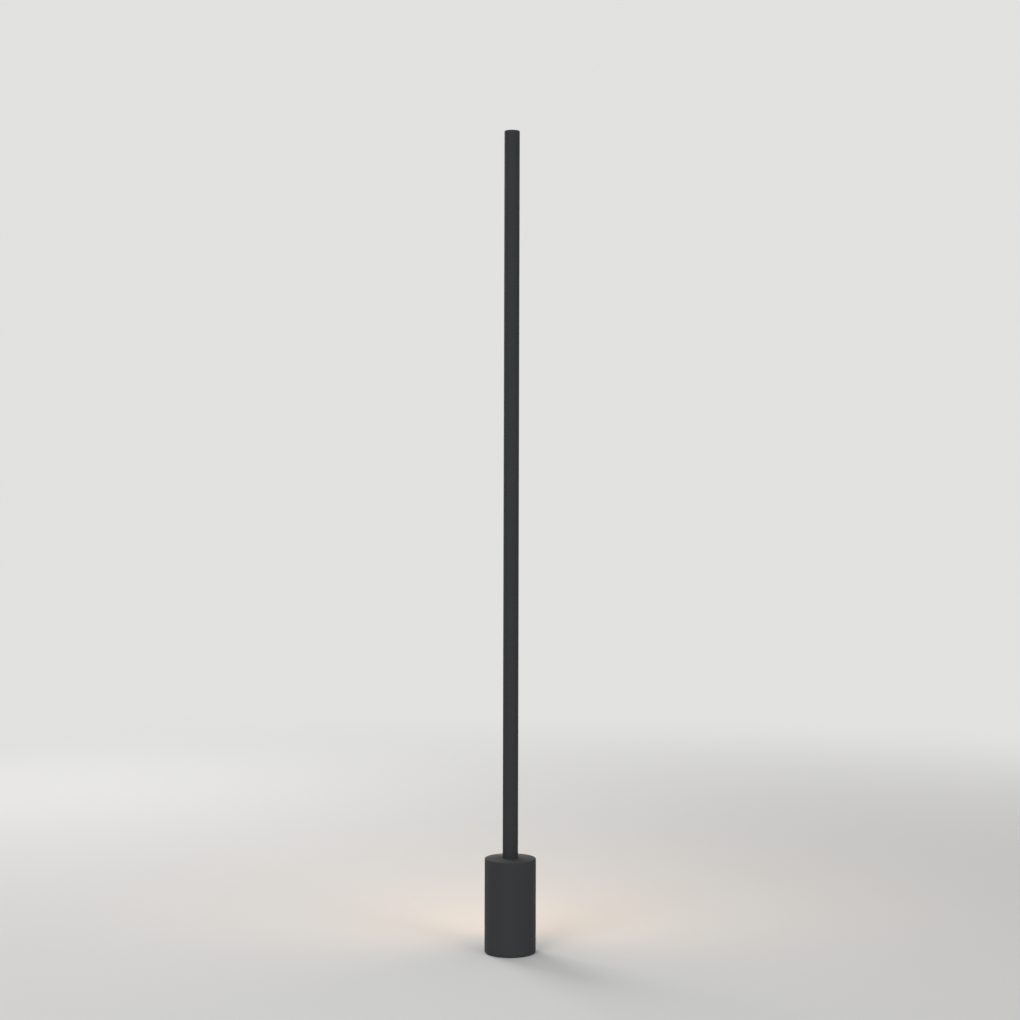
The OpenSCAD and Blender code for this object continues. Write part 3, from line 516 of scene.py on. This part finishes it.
# Makes the piece from points and quads. caps lists groups of point loops in one plane; each
# group is filled, the inner loops being its holes. Without caps, points in no face go.
def finishMesh(name, points, faces, caps, node, sharp, weld=False):
    if not caps:
        used, faces = np.unique(faces, return_inverse=True)
        points, faces = points[used], faces.reshape(-1, 4)
    mesh = bpy.data.meshes.new(name)
    mesh.from_pydata((points * mm).tolist(), [], faces.tolist())
    work = bmesh.new()
    work.from_mesh(mesh)
    work.verts.ensure_lookup_table()
    for group in caps:
        edges = []
        for loop in group:
            for a, b in zip(loop, np.roll(loop, -1)):
                pair = (work.verts[int(a)], work.verts[int(b)])
                edges.append(work.edges.get(pair) or work.edges.new(pair))
        bmesh.ops.triangle_fill(work, use_beauty=True, edges=edges)
    if weld:
        bmesh.ops.remove_doubles(work, verts=work.verts, dist=1e-7)
    bmesh.ops.recalc_face_normals(work, faces=work.faces)
    if work.calc_volume(signed=True) < 0:
        bmesh.ops.reverse_faces(work, faces=work.faces)
    work.to_mesh(mesh)
    work.free()
    mesh.polygons.foreach_set("use_smooth", np.ones(len(mesh.polygons), bool))
    mesh.set_sharp_from_angle(angle=math.radians(sharp))
    mesh.materials.append(finishes[slotOf[node]])
    piece = bpy.data.objects.new(name, mesh)
    bpy.context.scene.collection.objects.link(piece)
    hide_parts(node)
    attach(piece, "root")
    print("piece made:", name, len(mesh.polygons), "faces")


# Points of an arc about a centre, from the start to the end angle in degrees.
def arc(centre, radius, start, end, steps):
    t = np.radians(np.linspace(start, end, steps + 1))
    return np.stack([centre[0] + radius * np.cos(t), centre[1] + radius * np.sin(t)], axis=1)


# Rows of points round z: a ring's point at angle t is (radius cos t, radius sin t, height).
# Each ring is a radius, or one radius for each step, and a height.
def turned(rings, steps):
    t = np.linspace(0, 2 * np.pi, steps, endpoint=False)
    radius = np.array([np.broadcast_to(r, steps) for r, _ in rings])
    height = np.array([z for _, z in rings])[:, None] + 0 * t
    return np.stack([radius * np.cos(t), radius * np.sin(t), height], axis=-1)


# A closed ring from rows of points whose last row joins the first.
def ringPiece(name, rows, node, sharp):
    finishMesh(name, rows.reshape(-1, 3), tubeFaces(*rows.shape[:2], 0, wrap=True), [], node,
               sharp)


# A piece with two flat ends: tubes for its side and its holes, the ends filled between them.
def endedPiece(name, tubes, node, sharp):
    points, faces, first, last = stackTubes(tubes)
    finishMesh(name, points, faces, [first, last], node, sharp)


# Rows of a loop carried straight up z through the levels.
def raised(loop, levels):
    return np.stack([np.column_stack([loop, np.full(len(loop), z)]) for z in levels])


# Radius of a hexagon with its corners cut back to a circle: flat over cosine, capped.
def hexRadius(angle, corner, rounding):
    turn = np.mod(angle, np.pi / 3) - np.pi / 6
    flat = corner * math.cos(math.pi / 6)
    return np.minimum(flat / np.cos(turn), corner - rounding)


shell = {"radius": 50.0, "inner": 46.0, "rebate": 48.0, "height": 184.0, "lift": 2.0,
         "edge": 2.4, "chamfer": 0.5, "leadIn": 0.4, "rebateEdge": 0.3, "socket": 15.3,
         "socketFloor": 172.0, "step": 8.0, "ceiling": 174.0, "boss": 22.0,
         "bossFloor": 162.0, "bolt": 5.3, "post": 4.5, "postAt": 40.0,
         "posts": (30, 150, 270), "postRoom": 8, "rowsBelow": (6, 12),
         "rowsAbove": (62, 80, 100, 120, 140, 160, 174), "ringsOnTop": (40.0, 28.0, 19.0)}
spot = {"level": 34.0, "reach": 14.2, "face": 48.226, "pad": 13.2, "back": 42.226,
        "hole": 8.3, "holeEdge": 0.25, "ringOnFace": 11.0, "turn": 18.5, "rise": 16.0,
        "cells": (32, 36)}


# Angles of the shell's columns: close together over the spot face at the rear and across the
# three posts, wider between them.
def shellAngles():
    side = math.degrees(math.asin(shell["post"] / shell["postAt"]))
    across = np.concatenate([[-side - 0.1], np.linspace(-side, side, 25), [side + 0.1]])
    rear, half, room = 90.0, spot["turn"], shell["postRoom"]
    right, left, front = shell["posts"]
    spans = [np.linspace(rear - half, rear + half, spot["cells"][1] + 1),
             np.linspace(right + room, rear - half, 24, endpoint=False),
             np.linspace(left - room, rear + half, 24, endpoint=False),
             np.linspace(left + room, front - room, 80),
             np.linspace(front + room, right + 360 - room, 80)]
    spans += [across + angle for angle in shell["posts"]]
    return np.radians(np.sort(np.concatenate(spans)))


# Distance of the shell's inner wall from the axis: the wall's radius, or in front of a post
# the near side of its circle, at * cos(d) - sqrt(post^2 - (at * sin(d))^2).
def innerWall(t):
    wall = np.full(t.shape, shell["inner"])
    for angle in np.radians(shell["posts"]):
        along, beside = shell["postAt"] * np.cos(t - angle), shell["postAt"] * np.sin(t - angle)
        room = shell["post"] ** 2 - beside ** 2
        near = (along > 0) & (room > -1e-9)
        wall = np.where(near, along - np.sqrt(np.maximum(room, 0)), wall)
    return wall


# Closed outline of the shell's section: up the outer wall, over the rounded edge, across the
# top, down into the socket, back inside and down the inner wall.
def shellProfile():
    s = shell
    levels = np.linspace(spot["level"] - spot["rise"], spot["level"] + spot["rise"],
                         spot["cells"][0] + 1)
    heights = np.concatenate([[s["lift"] + s["chamfer"]], s["rowsBelow"], levels,
                              s["rowsAbove"]])
    outer = np.stack([np.full(len(heights), s["radius"]), heights], axis=1)
    rounded = arc((s["radius"] - s["edge"], s["height"] - s["edge"]), s["edge"], 0, 90, 12)
    top = np.array([[radius, s["height"]] for radius in s["ringsOnTop"]])
    leadIn = arc((s["socket"] + s["leadIn"], s["height"] - s["leadIn"]), s["leadIn"], 90, 180,
                 4)
    inside = np.array([[s["socket"], s["socketFloor"]], [s["bolt"], s["socketFloor"]],
                       [s["bolt"], s["bossFloor"]], [s["boss"], s["bossFloor"]],
                       [s["boss"], s["ceiling"]]])
    down = np.concatenate([[s["ceiling"]], levels[::-1], [s["step"]]])
    inner = np.stack([np.full(len(down), s["inner"]), down], axis=1)
    rebate = np.array([[s["rebate"], s["step"]], [s["rebate"], s["lift"] + s["rebateEdge"]],
                       [s["rebate"] + s["rebateEdge"], s["lift"]]])
    lower = arc((s["radius"] - s["chamfer"], s["lift"] + s["chamfer"]), s["chamfer"], -90, -15,
                4)
    return np.concatenate([outer, rounded, top, leadIn, inside, inner, rebate, lower])


# Points round a block of a grid, from its first corner.
def rim(block):
    return np.concatenate([block[0, :-1], block[:-1, -1], block[-1, :0:-1], block[:0:-1, 0]])


# Surface of the gland's seat, as rings about the gland's axis from the hole cut in the outer
# wall to the one cut in the inner wall. A ring at distance d has x = d cos(a) and height
# level + d sin(a). On a wall of radius r its depth is sqrt(r^2 - x^2); on the spot face, in
# the bore and on the pad inside it is a plane's, where that lies within the wall, and the rims
# of spot and pad lie between the two.
def glandSeat(outerRim, innerRim):
    level, outer, inner = spot["level"], shell["radius"], shell["inner"]
    a = np.arctan2(outerRim[:, 2] - level, outerRim[:, 0])

    def ring(distance, depth=None, share=0.0, wall=outer):
        x, z = distance * np.cos(a), level + distance * np.sin(a)
        y = np.sqrt(wall ** 2 - x ** 2)
        if depth is not None:
            y = np.minimum(depth, y) + np.maximum(y - depth, 0) * share
        return np.stack([x, y, z], axis=1)

    def between(edge, circle, wall, part):
        mixed = edge + (circle - edge) * part
        mixed[:, 1] = np.sqrt(wall ** 2 - mixed[:, 0] ** 2)
        return mixed

    reach, face, pad, back, hole = (spot[k] for k in ("reach", "face", "pad", "back", "hole"))
    edge = spot["holeEdge"]
    first, last = ring(reach + 0.3), ring(pad + 0.1, wall=inner)
    rows = [outerRim, between(outerRim, first, outer, 0.4),
            between(outerRim, first, outer, 0.75), first,
            ring(reach + 0.06, face, 0.94), ring(reach, face, 0.8), ring(reach, face, 0.12),
            ring(reach - 0.12, face), ring(pad, face), ring(spot["ringOnFace"], face),
            ring(hole + edge, face), ring(hole, face - edge), ring(hole, back + edge),
            ring(hole + edge, back), ring(pad - 0.1, back), ring(pad, back + 0.1),
            ring(pad, back, 0.9, inner), last, between(last, innerRim, inner, 0.5), innerRim]
    return np.stack(rows)


# The profile carried round z, with the inner wall following the posts. Where the gland sits
# a block is left out of the outer and of the inner wall, and the gland's seat joins the two.
def shellPiece():
    t, profile = shellAngles(), shellProfile()
    onInner = (profile[:, :1] == shell["inner"]) & (0 * t == 0)
    radius = np.where(onInner, innerWall(t), profile[:, :1])
    grid = np.stack([radius * np.cos(t), radius * np.sin(t), profile[:, 1:] + 0 * t], axis=-1)
    count, columns = grid.shape[:2]
    keep = np.ones((count, columns), bool)
    high, wide = spot["cells"]
    left = int(np.argmin(np.abs(t - math.radians(90.0 - spot["turn"]))))
    lowest = int(np.argmin(np.abs(profile[:, 1] - spot["level"] + spot["rise"])))
    highest = int(np.flatnonzero(onInner[:, 0])[1])  # next below the ceiling's row
    for row in (lowest, highest):
        keep[row:row + high, left:left + wide] = False
    outerRim = rim(grid[lowest:lowest + high + 1, left:left + wide + 1])
    innerRim = rim(grid[highest:highest + high + 1, left:left + wide + 1][::-1])
    seat = glandSeat(outerRim, innerRim)
    quads = tubeFaces(count, columns, 0, wrap=True).reshape(count, columns, 4)[keep]
    finishMesh("baseShell", np.concatenate([grid.reshape(-1, 3), seat.reshape(-1, 3)]),
               np.concatenate([quads, tubeFaces(*seat.shape[:2], count * columns)]), [],
               "base_shell", 32.0, weld=True)


shellPiece()


pole = {"radius": 15.0, "bore": 13.0, "foot": 180.0, "end": 1589.0, "rows": 13,
        "window": 52.0, "edge": 0.25, "edgeDrop": 0.07, "shelf": 4.0, "shelfUnder": 2.0,
        "port": 3.7, "portBore": 2.05, "portAt": (7.66, -6.428)}
mirrored = np.array([-1.0, 1.0])
portSpots = [np.array(pole["portAt"]) * mirrored, np.array(pole["portAt"])]


# Points of a circle about the axis, by angles in degrees from the rear, clockwise; without an
# end, the one point at the start.
def fromRear(radius, start, end=None, steps=0):
    t = np.radians(np.linspace(start, start if end is None else end, steps + 1))
    return np.stack([radius * np.sin(t), radius * np.cos(t)], axis=1)


# Outer loop of the section: round the front from one window edge to the other, in over the
# rounded edge, and back along the bore and the shelf's rear face.
def poleOutline():
    p = pole
    turn = math.degrees(p["edge"] / p["radius"])
    meet = math.degrees(math.acos(p["shelf"] / p["bore"]))
    side = 360 - p["window"]
    outer = fromRear(p["radius"], p["window"] + turn, side - turn, 150)
    left = np.concatenate([fromRear(p["radius"] - p["edgeDrop"], side - turn * 0.3),
                           fromRear(p["radius"] - p["edge"], side)])
    inner = fromRear(p["bore"], side, 360 - meet, 8)
    shelf = np.stack([np.linspace(inner[-1, 0], -inner[-1, 0], 9)[1:-1],
                      np.full(7, p["shelf"])], axis=1)
    return np.concatenate([outer, left, inner, shelf, inner[::-1] * mirrored,
                           left[::-1] * mirrored])


# Loop of the hollow in front of the shelf, its right half from the front to the shelf and then
# the mirror of that: the bore's arc, the near side of the screw port's circle, the bore's arc
# again and the shelf. Where two circles meet, cos(angle) = (a^2 + b^2 - c^2) / 2ab.
def poleCell():
    p = pole
    x, y = p["portAt"]
    away, bore, port = math.hypot(x, y), p["bore"], p["port"]
    turn = math.degrees(math.atan2(x, -y))
    spread = math.degrees(math.acos((bore ** 2 + away ** 2 - port ** 2) / (2 * bore * away)))
    swing = math.degrees(math.acos((port ** 2 + away ** 2 - bore ** 2) / (2 * port * away)))
    shelf = math.degrees(math.asin(p["shelfUnder"] / bore))
    portArc = arc(p["portAt"], port, turn + 90 + swing, turn + 90 - swing, 48)
    right = np.concatenate([arc((0, 0), bore, -90, turn - spread - 90, 24), portArc[1:],
                            arc((0, 0), bore, turn + spread - 90, shelf, 24)[1:]])
    across = np.stack([np.linspace(right[-1, 0], -right[-1, 0], 9)[1:-1],
                       np.full(7, p["shelfUnder"])], axis=1)
    return np.concatenate([right, across, right[:0:-1] * mirrored])


portCircle = turned([(pole["portBore"], 0.0)], 28)[0, :, :2]
poleLoops = [poleOutline(), poleCell(), *(portCircle + at for at in portSpots)]
poleLevels = np.linspace(pole["foot"], pole["end"], pole["rows"])
endedPiece("poleTube", [raised(loop, poleLevels) for loop in poleLoops], "pole_tube", 40.0)


cover = {"radius": 15.0, "wall": 1.5, "half": 51.5, "leg": 9.994, "legWall": 1.0,
         "barb": 0.9, "barbTop": 6.894, "barbStep": 0.4, "tip": 5.494, "foot": 180.05,
         "end": 1588.0, "rows": 25, "edge": 0.3, "edgeDrop": 0.09}


# Section of the opal cover: the outer arc, its rounded ends, and inside the two snap legs
# with their barbs, mirrored about the middle.
def coverOutline():
    c = cover
    inside = c["radius"] - c["wall"]
    turn = math.degrees(c["edge"] / c["radius"])
    outer = fromRear(c["radius"], -c["half"] + turn, c["half"] - turn, 72)
    root = math.degrees(math.asin(c["leg"] / inside))
    inner = math.degrees(math.asin((c["leg"] - c["legWall"]) / inside))
    leg = np.array([[c["leg"], c["barbTop"]], [c["leg"] + c["barb"], c["barbTop"]],
                    [c["leg"] + c["barb"], c["barbTop"] - c["barbStep"]],
                    [c["leg"], c["tip"]], [c["leg"] - c["legWall"], c["tip"]]])
    right = np.concatenate([fromRear(c["radius"] - c["edgeDrop"], c["half"] - turn * 0.3),
                            fromRear(c["radius"] - c["edge"], c["half"]),
                            fromRear(inside, c["half"]), fromRear(inside, root), leg])
    under = fromRear(inside, inner, -inner, 24)
    return np.concatenate([outer, right, under, right[::-1] * mirrored])


coverLevels = np.linspace(cover["foot"], cover["end"], cover["rows"])
endedPiece("opalCover", [raised(coverOutline(), coverLevels)], "diffuser", 40.0)


cap = {"radius": 15.0, "foot": 1590.0, "top": 1600.0, "edge": 1.0, "chamfer": 0.2,
       "head": 3.75, "shank": 2.05, "sink": 1.7}


# Tubes of the cap: its side with a rounded edge, and two countersunk holes.
def capTubes():
    c = cap
    side = np.concatenate([[[c["radius"] - c["chamfer"], c["foot"]],
                            [c["radius"], c["foot"] + c["chamfer"]]],
                           arc((c["radius"] - c["edge"], c["top"] - c["edge"]), c["edge"], 0,
                               90, 8)])
    hole = turned([(c["shank"], c["foot"]), (c["shank"], c["top"] - c["sink"]),
                   (c["head"] - 0.1, c["top"] - 0.1), (c["head"] + 0.05, c["top"])], 40)
    return [turned(side, 128), *(hole + np.array([*at, 0.0]) for at in portSpots)]


endedPiece("topCap", capTubes(), "top_cap", 32.0)


capScrew = {"size": 4.0, "head": 7.4, "length": 22.0, "flats": 2.5}
plateScrew = {"size": 4.0, "head": 8.0, "length": 18.0, "flats": 2.5}
plateScrewLevel = 3.0
postSpots = [shell["postAt"] * np.array([math.cos(a), math.sin(a)])
             for a in np.radians(shell["posts"])]


# Countersunk screw from its head's face at 0 down to its tip: rings from the middle of the
# hexagon socket out over the face, in along the cone and down the shank. Every ring is round,
# apart from the socket's, whose radius is flat over cosine.
def sunkScrew(size, head, length, flats):
    steps, bevel, tip = 48, 0.12, 0.4
    t = np.linspace(0, 2 * np.pi, steps, endpoint=False)
    socket = hexRadius(t, flats / 2 / math.cos(math.pi / 6), 0.03)
    cone = (head - size) / 2
    depth = cone * 0.95
    return turned([(0.0, -depth - 0.25), (socket * 0.6, -depth), (socket, -depth + 0.1),
                   (socket, -bevel), (socket + bevel, 0.0), (head / 2 - 0.15, 0.0),
                   (head / 2, -bevel), (size / 2 + 0.1, -cone), (size / 2, -cone - 0.1),
                   (size / 2, -length + tip), (size / 2 - tip, -length), (0.0, -length)],
                  steps)


# Copies of one screw at the spots, welded at their tips; up turns them upside down.
def screwSet(name, rows, spots, level, node, up=False):
    shape = rows * np.array([1.0, 1.0, -1.0]) if up else rows
    points, faces, _, _ = stackTubes([shape + np.array([*at, level]) for at in spots])
    finishMesh(name, points, faces, [], node, 32.0, weld=True)


screwSet("capScrews", sunkScrew(**capScrew), portSpots, cap["top"], "cap_screws")
screwSet("plateScrews", sunkScrew(**plateScrew), postSpots, plateScrewLevel, "plate_screws",
         up=True)


foot = {"radius": 47.0, "thick": 3.0, "chamfer": 0.6, "hole": 4.3, "holeEdge": 0.25,
        "plain": 33.0, "groove": 0.7, "grooveDepth": 0.5,
        "grooves": (6.0, 12.0, 18.0, 24.0, 30.0), "rings": 133}


# Rubber foot: a disc with a rounded lower edge and three access holes. Inside a circle its
# lower face is turned, with round grooves of cosine section.
def footPiece():
    f = foot
    edge = np.concatenate([arc((f["radius"] - f["chamfer"], f["chamfer"]), f["chamfer"], -90,
                               0, 6), [[f["radius"], f["thick"]]]])
    hole = turned([(f["hole"] + f["holeEdge"], 0.0), (f["hole"], f["holeEdge"]),
                   (f["hole"], f["thick"])], 40)
    radius = np.linspace(f["plain"], 0.0, f["rings"])
    away = [np.clip((radius - groove) / f["groove"], -1, 1) for groove in f["grooves"]]
    sunk = sum(f["grooveDepth"] * 0.5 * (1 + np.cos(np.pi * a)) for a in away)
    tubes = [turned(edge, 160), *(hole + np.array([*at, 0.0]) for at in postSpots),
             turned(np.stack([radius, sunk], axis=1), 96)]
    points, faces, first, last = stackTubes(tubes)
    finishMesh("footPad", points, faces, [first, last[:-1]], "foot_pad", 40.0, weld=True)


footPiece()


gland = {"height": 34.0, "face": 49.226, "inner": 36.226, "flats": 22.0, "flange": 5.0,
         "thread": 8.0, "pitch": 1.5, "turnDepth": 0.18, "turnRings": 40, "mouth": 13.0,
         "bore": 5.85, "fit": 0.05, "cornerCut": 0.12, "nutStart": 5.4, "nutHex": 7.0,
         "dome": 9.6, "domeBend": 3.25, "nutLength": 15.6, "ribs": 24, "ribDepth": 0.22,
         "nose": 5.3, "collar": 7.0, "collarThick": 1.2, "sealEnd": 17.0,
         "sealLength": 10.0, "cable": 4.0, "washer": 11.7, "washerThick": 1.0}


# Turns rows about z onto the gland's axis: up becomes rearward, at the gland's height.
def onGland(rows):
    x, y, z = rows[..., 0], rows[..., 1], rows[..., 2]
    return np.stack([x, gland["face"] + z, gland["height"] - y], axis=-1)


# Rings of a hexagon between two heights, its corners capped by a cone at both ends. Each cut
# is a distance in from the end and what the cone takes off the corners there.
def hexagonRings(t, corner, low, high, lowCuts, highCuts):
    hexagon = hexRadius(t, corner, gland["cornerCut"])
    rings = [(np.minimum(hexagon, corner - cut), low + up) for up, cut in lowCuts]
    return rings + [(np.minimum(hexagon, corner - cut), high - down)
                    for down, cut in highCuts[::-1]]


# Gland body: neck, hexagon flange with chamfered ends, thread with rounded turns, and bore.
# The thread's radius is a cosine of the height.
def glandBodyRows():
    g = gland
    steps, thread = 192, g["thread"]
    t = np.linspace(0, 2 * np.pi, steps, endpoint=False)
    neck = g["inner"] - g["face"]
    cuts = [(0.0, 1.2), (0.35, 0.55), (0.9, 0.0)]
    rings = [(g["bore"], neck), (thread - 0.4, neck), (thread, neck + 0.4), (thread, 0.0)]
    rings += hexagonRings(t, g["flats"] / 2 / math.cos(math.pi / 6), 0.0, g["flange"], cuts,
                          cuts)
    rings += [(thread, g["flange"])]
    rings += [(thread - 0.2 + g["turnDepth"] * math.cos(z * 2 * math.pi / g["pitch"]), z)
              for z in np.linspace(g["flange"] + 0.3, g["mouth"] - 0.5, g["turnRings"])]
    rings += [(thread - 0.5, g["mouth"]), (g["bore"], g["mouth"])]
    return turned(rings, steps)


# Gland nut: hexagon with chamfered ends, then a dome whose side has shallow ribs, each a
# cosine of the angle that fades towards the mouth, and inside the shoulder and the bore.
def glandNutRows():
    g = gland
    steps, start, dome, bend = 288, g["nutStart"], g["dome"], g["domeBend"]
    t = np.linspace(0, 2 * np.pi, steps, endpoint=False)
    ribs = g["ribDepth"] * 0.5 * (1 - np.cos(g["ribs"] * t))
    hexEnd, top, inside = start + g["nutHex"], start + g["nutLength"], g["thread"] + g["fit"]
    rings = [(inside, start)]
    rings += hexagonRings(t, dome / math.cos(math.pi / 6), start, hexEnd,
                          [(0.0, 1.0), (0.3, 0.45), (0.7, 0.0)],
                          [(0.0, 1.1), (0.3, 0.45), (0.7, 0.0)])
    rings += [(dome - 0.35, hexEnd), (dome - 0.35, hexEnd + 0.3),
              (dome - ribs * 0.5, hexEnd + 0.7), (dome - ribs, hexEnd + 1.3)]
    rounded = arc((dome - bend, top - bend), bend, 0, 90, 12)
    fade = np.linspace(1, 0, len(rounded)) ** 0.7
    rings += [(r - ribs * share, z) for (r, z), share in zip(rounded, fade)]
    mouth = g["nose"] + g["fit"]
    shoulder = g["mouth"] + g["collarThick"] + g["fit"]
    rings += [(mouth + 0.35, top), (mouth + 0.1, top - 0.1), (mouth, top - 0.35),
              (mouth, shoulder), (inside, shoulder)]
    return turned(rings, steps)


# Rubber seal: sleeve, collar and nose round the cable's hole, its mouth rounded.
def glandSealRows():
    g = gland
    back, end, cable, nose = g["sealEnd"] - g["sealLength"], g["sealEnd"], g["cable"], g["nose"]
    body, collarEnd = g["bore"] - g["fit"], g["mouth"] + g["collarThick"]
    return turned([(cable, back), (body, back), (body, g["mouth"]),
                   (g["collar"], g["mouth"]), (g["collar"], collarEnd), (nose, collarEnd),
                   (nose, end - 0.4), (nose - 0.15, end - 0.1), (nose - 0.4, end),
                   (cable + 0.3, end), (cable + 0.08, end - 0.08), (cable, end - 0.3)], 96)


# Flat sealing washer with rounded edges, behind the hexagon flange.
def glandWasherRows():
    thick, outer, inner = gland["washerThick"], gland["washer"], gland["thread"] + gland["fit"]
    return turned([(inner, -thick), (outer - 0.25, -thick), (outer - 0.05, -thick + 0.15),
                   (outer, -thick / 2), (outer - 0.05, -0.15), (outer - 0.25, 0.0),
                   (inner, 0.0)], 128)


ringPiece("glandBody", onGland(glandBodyRows()), "gland_body", 28.0)
ringPiece("glandNut", onGland(glandNutRows()), "gland_nut", 28.0)
ringPiece("glandSeal", onGland(glandSealRows()), "gland_seal", 32.0)
ringPiece("glandWasher", onGland(glandWasherRows()), "gland_washer", 40.0)


# Colours, the fade's start and end in metres, and the floor's circles in millimetres
studio = {"floor": (0.84, 0.837, 0.83), "unseen": (0.6, 0.597, 0.59),
          "back": (0.76, 0.757, 0.75), "sky": 0.3, "fadeFrom": 0.9, "fadeTo": 4.2,
          "circles": (200.0, 2000.0, 40000.0)}


# Plain pale floor that fades into the background far out and is clear from below. It is a
# ring: circles of growing radius, the first just inside the rubber foot's lower edge, so that
# light from below reaches the foot.
def makeFloor():
    mesh = bpy.data.meshes.new("floor")
    hole = foot["radius"] - foot["chamfer"] - 0.1
    rows = turned([(radius, 0.0) for radius in (hole, *studio["circles"])], 96)
    mesh.from_pydata((rows.reshape(-1, 3) * mm).tolist(), [],
                     tubeFaces(*rows.shape[:2], 0)[:, ::-1].tolist())
    floor = bpy.data.objects.new("floor", mesh)
    bpy.context.scene.collection.objects.link(floor)
    material, tree, shader = newFinish("floorPaint", Roughness=0.85, Specular_IOR_Level=0.15)
    mesh.materials.append(material)
    at = objectPoint(tree)
    even = useGroup(tree, mottle, Broad=3.0, Fine=220.0)
    seen = seenRays(tree)
    paint = blendColours(tree, even["Tone"], tuple(c * 0.985 for c in studio["floor"]),
                         studio["floor"])
    colourBy(tree, shader, seen, studio["unseen"], paint)
    bumpInto(tree, shader, even["Height"], 0.0001)
    away = put(tree, "ShaderNodeVectorMath", [(at, 0)], operation="LENGTH").outputs["Value"]
    fade = put(tree, "ShaderNodeMapRange", [(away, "Value")], interpolation_type="SMOOTHSTEP",
               From_Min=studio["fadeFrom"], From_Max=studio["fadeTo"]).outputs["Result"]
    pale = put(tree, "ShaderNodeEmission", Color=(*studio["back"], 1.0), Strength=1.0)
    far = put(tree, "ShaderNodeMixShader", [(math1(tree, "MULTIPLY", fade, seen), "Fac"),
                                            (shader.outputs[0], 1), (pale.outputs[0], 2)])
    clear = put(tree, "ShaderNodeBsdfTransparent")
    below = put(tree, "ShaderNodeNewGeometry").outputs["Backfacing"]
    both = put(tree, "ShaderNodeMixShader", [(math1(tree, "MULTIPLY", below, seen), "Fac"),
                                             (far.outputs[0], 1), (clear.outputs[0], 2)])
    tree.links.new(both.outputs[0], tree.nodes["Material Output"].inputs["Surface"])


# Soft even light, with the pale background for what the camera, gloss and glass see.
def makeWorld():
    world = bpy.data.worlds.new("studio")
    bpy.context.scene.world = world
    world.use_nodes = True
    tree = world.node_tree
    tree.links.new(blendColours(tree, seenRays(tree), (studio["sky"],) * 3, studio["back"]),
                   tree.nodes["Background"].inputs["Color"])


# A rectangular lamp at a place, turned to its aim, in metres and watts.
def softbox(name, place, aim, size, power, colour=(1.0, 1.0, 1.0)):
    data = bpy.data.lights.new(name, "AREA")
    data.shape = "RECTANGLE"
    data.size, data.size_y = size
    data.energy = power
    data.color = colour
    lamp = bpy.data.objects.new(name, data)
    lamp.location = place
    lamp.rotation_euler = (Vector(aim) - Vector(place)).to_track_quat("-Z", "Y").to_euler()
    bpy.context.scene.collection.objects.link(lamp)
    return lamp


lamps = {
    "keyLamp": {"place": (-2.2, -4.2, 2.1), "aim": (0, 0, 0.75), "size": (2.4, 2.4),
                "power": 84.0},
    "fillLamp": {"place": (3.0, -3.4, 1.6), "aim": (0, 0, 0.7), "size": (1.8, 2.4),
                 "power": 44.0},
    "topLamp": {"place": (0.0, 0.3, 3.6), "aim": (0, 0, 0.5), "size": (2.4, 2.4),
                "power": 12.0},
    "rearLamp": {"place": (-2.0, 3.0, 2.3), "aim": (0, 0, 0.5), "size": (1.8, 1.8),
                 "power": 56.0},
}
stripGlow = {"turns": (-40, 0, 40), "out": 16.5, "wide": 8.0, "power": 1.4,
             "colour": (1.0, 0.64, 0.32)}


# The cover's own light: tall narrow lamps just outside it, fanned out to the rear.
def lightStrip():
    middle = np.array([0.0, 0.0, (strip["start"] + strip["end"]) / 2 * mm])
    size = (stripGlow["wide"] * mm, (strip["end"] - strip["start"]) * mm)
    for number, turn in enumerate(np.radians(stripGlow["turns"])):
        out = np.array([math.sin(turn), math.cos(turn), 0.0])
        lamp = softbox("stripGlow" + str(number), middle + out * stripGlow["out"] * mm,
                       middle + out, size, stripGlow["power"], stripGlow["colour"])
        lamp.visible_camera = False


makeFloor()
makeWorld()
for lampName, settings in lamps.items():
    softbox(lampName, **settings)
lightStrip()
print("studio made:", len(lamps), "lamps and the strip's own light")
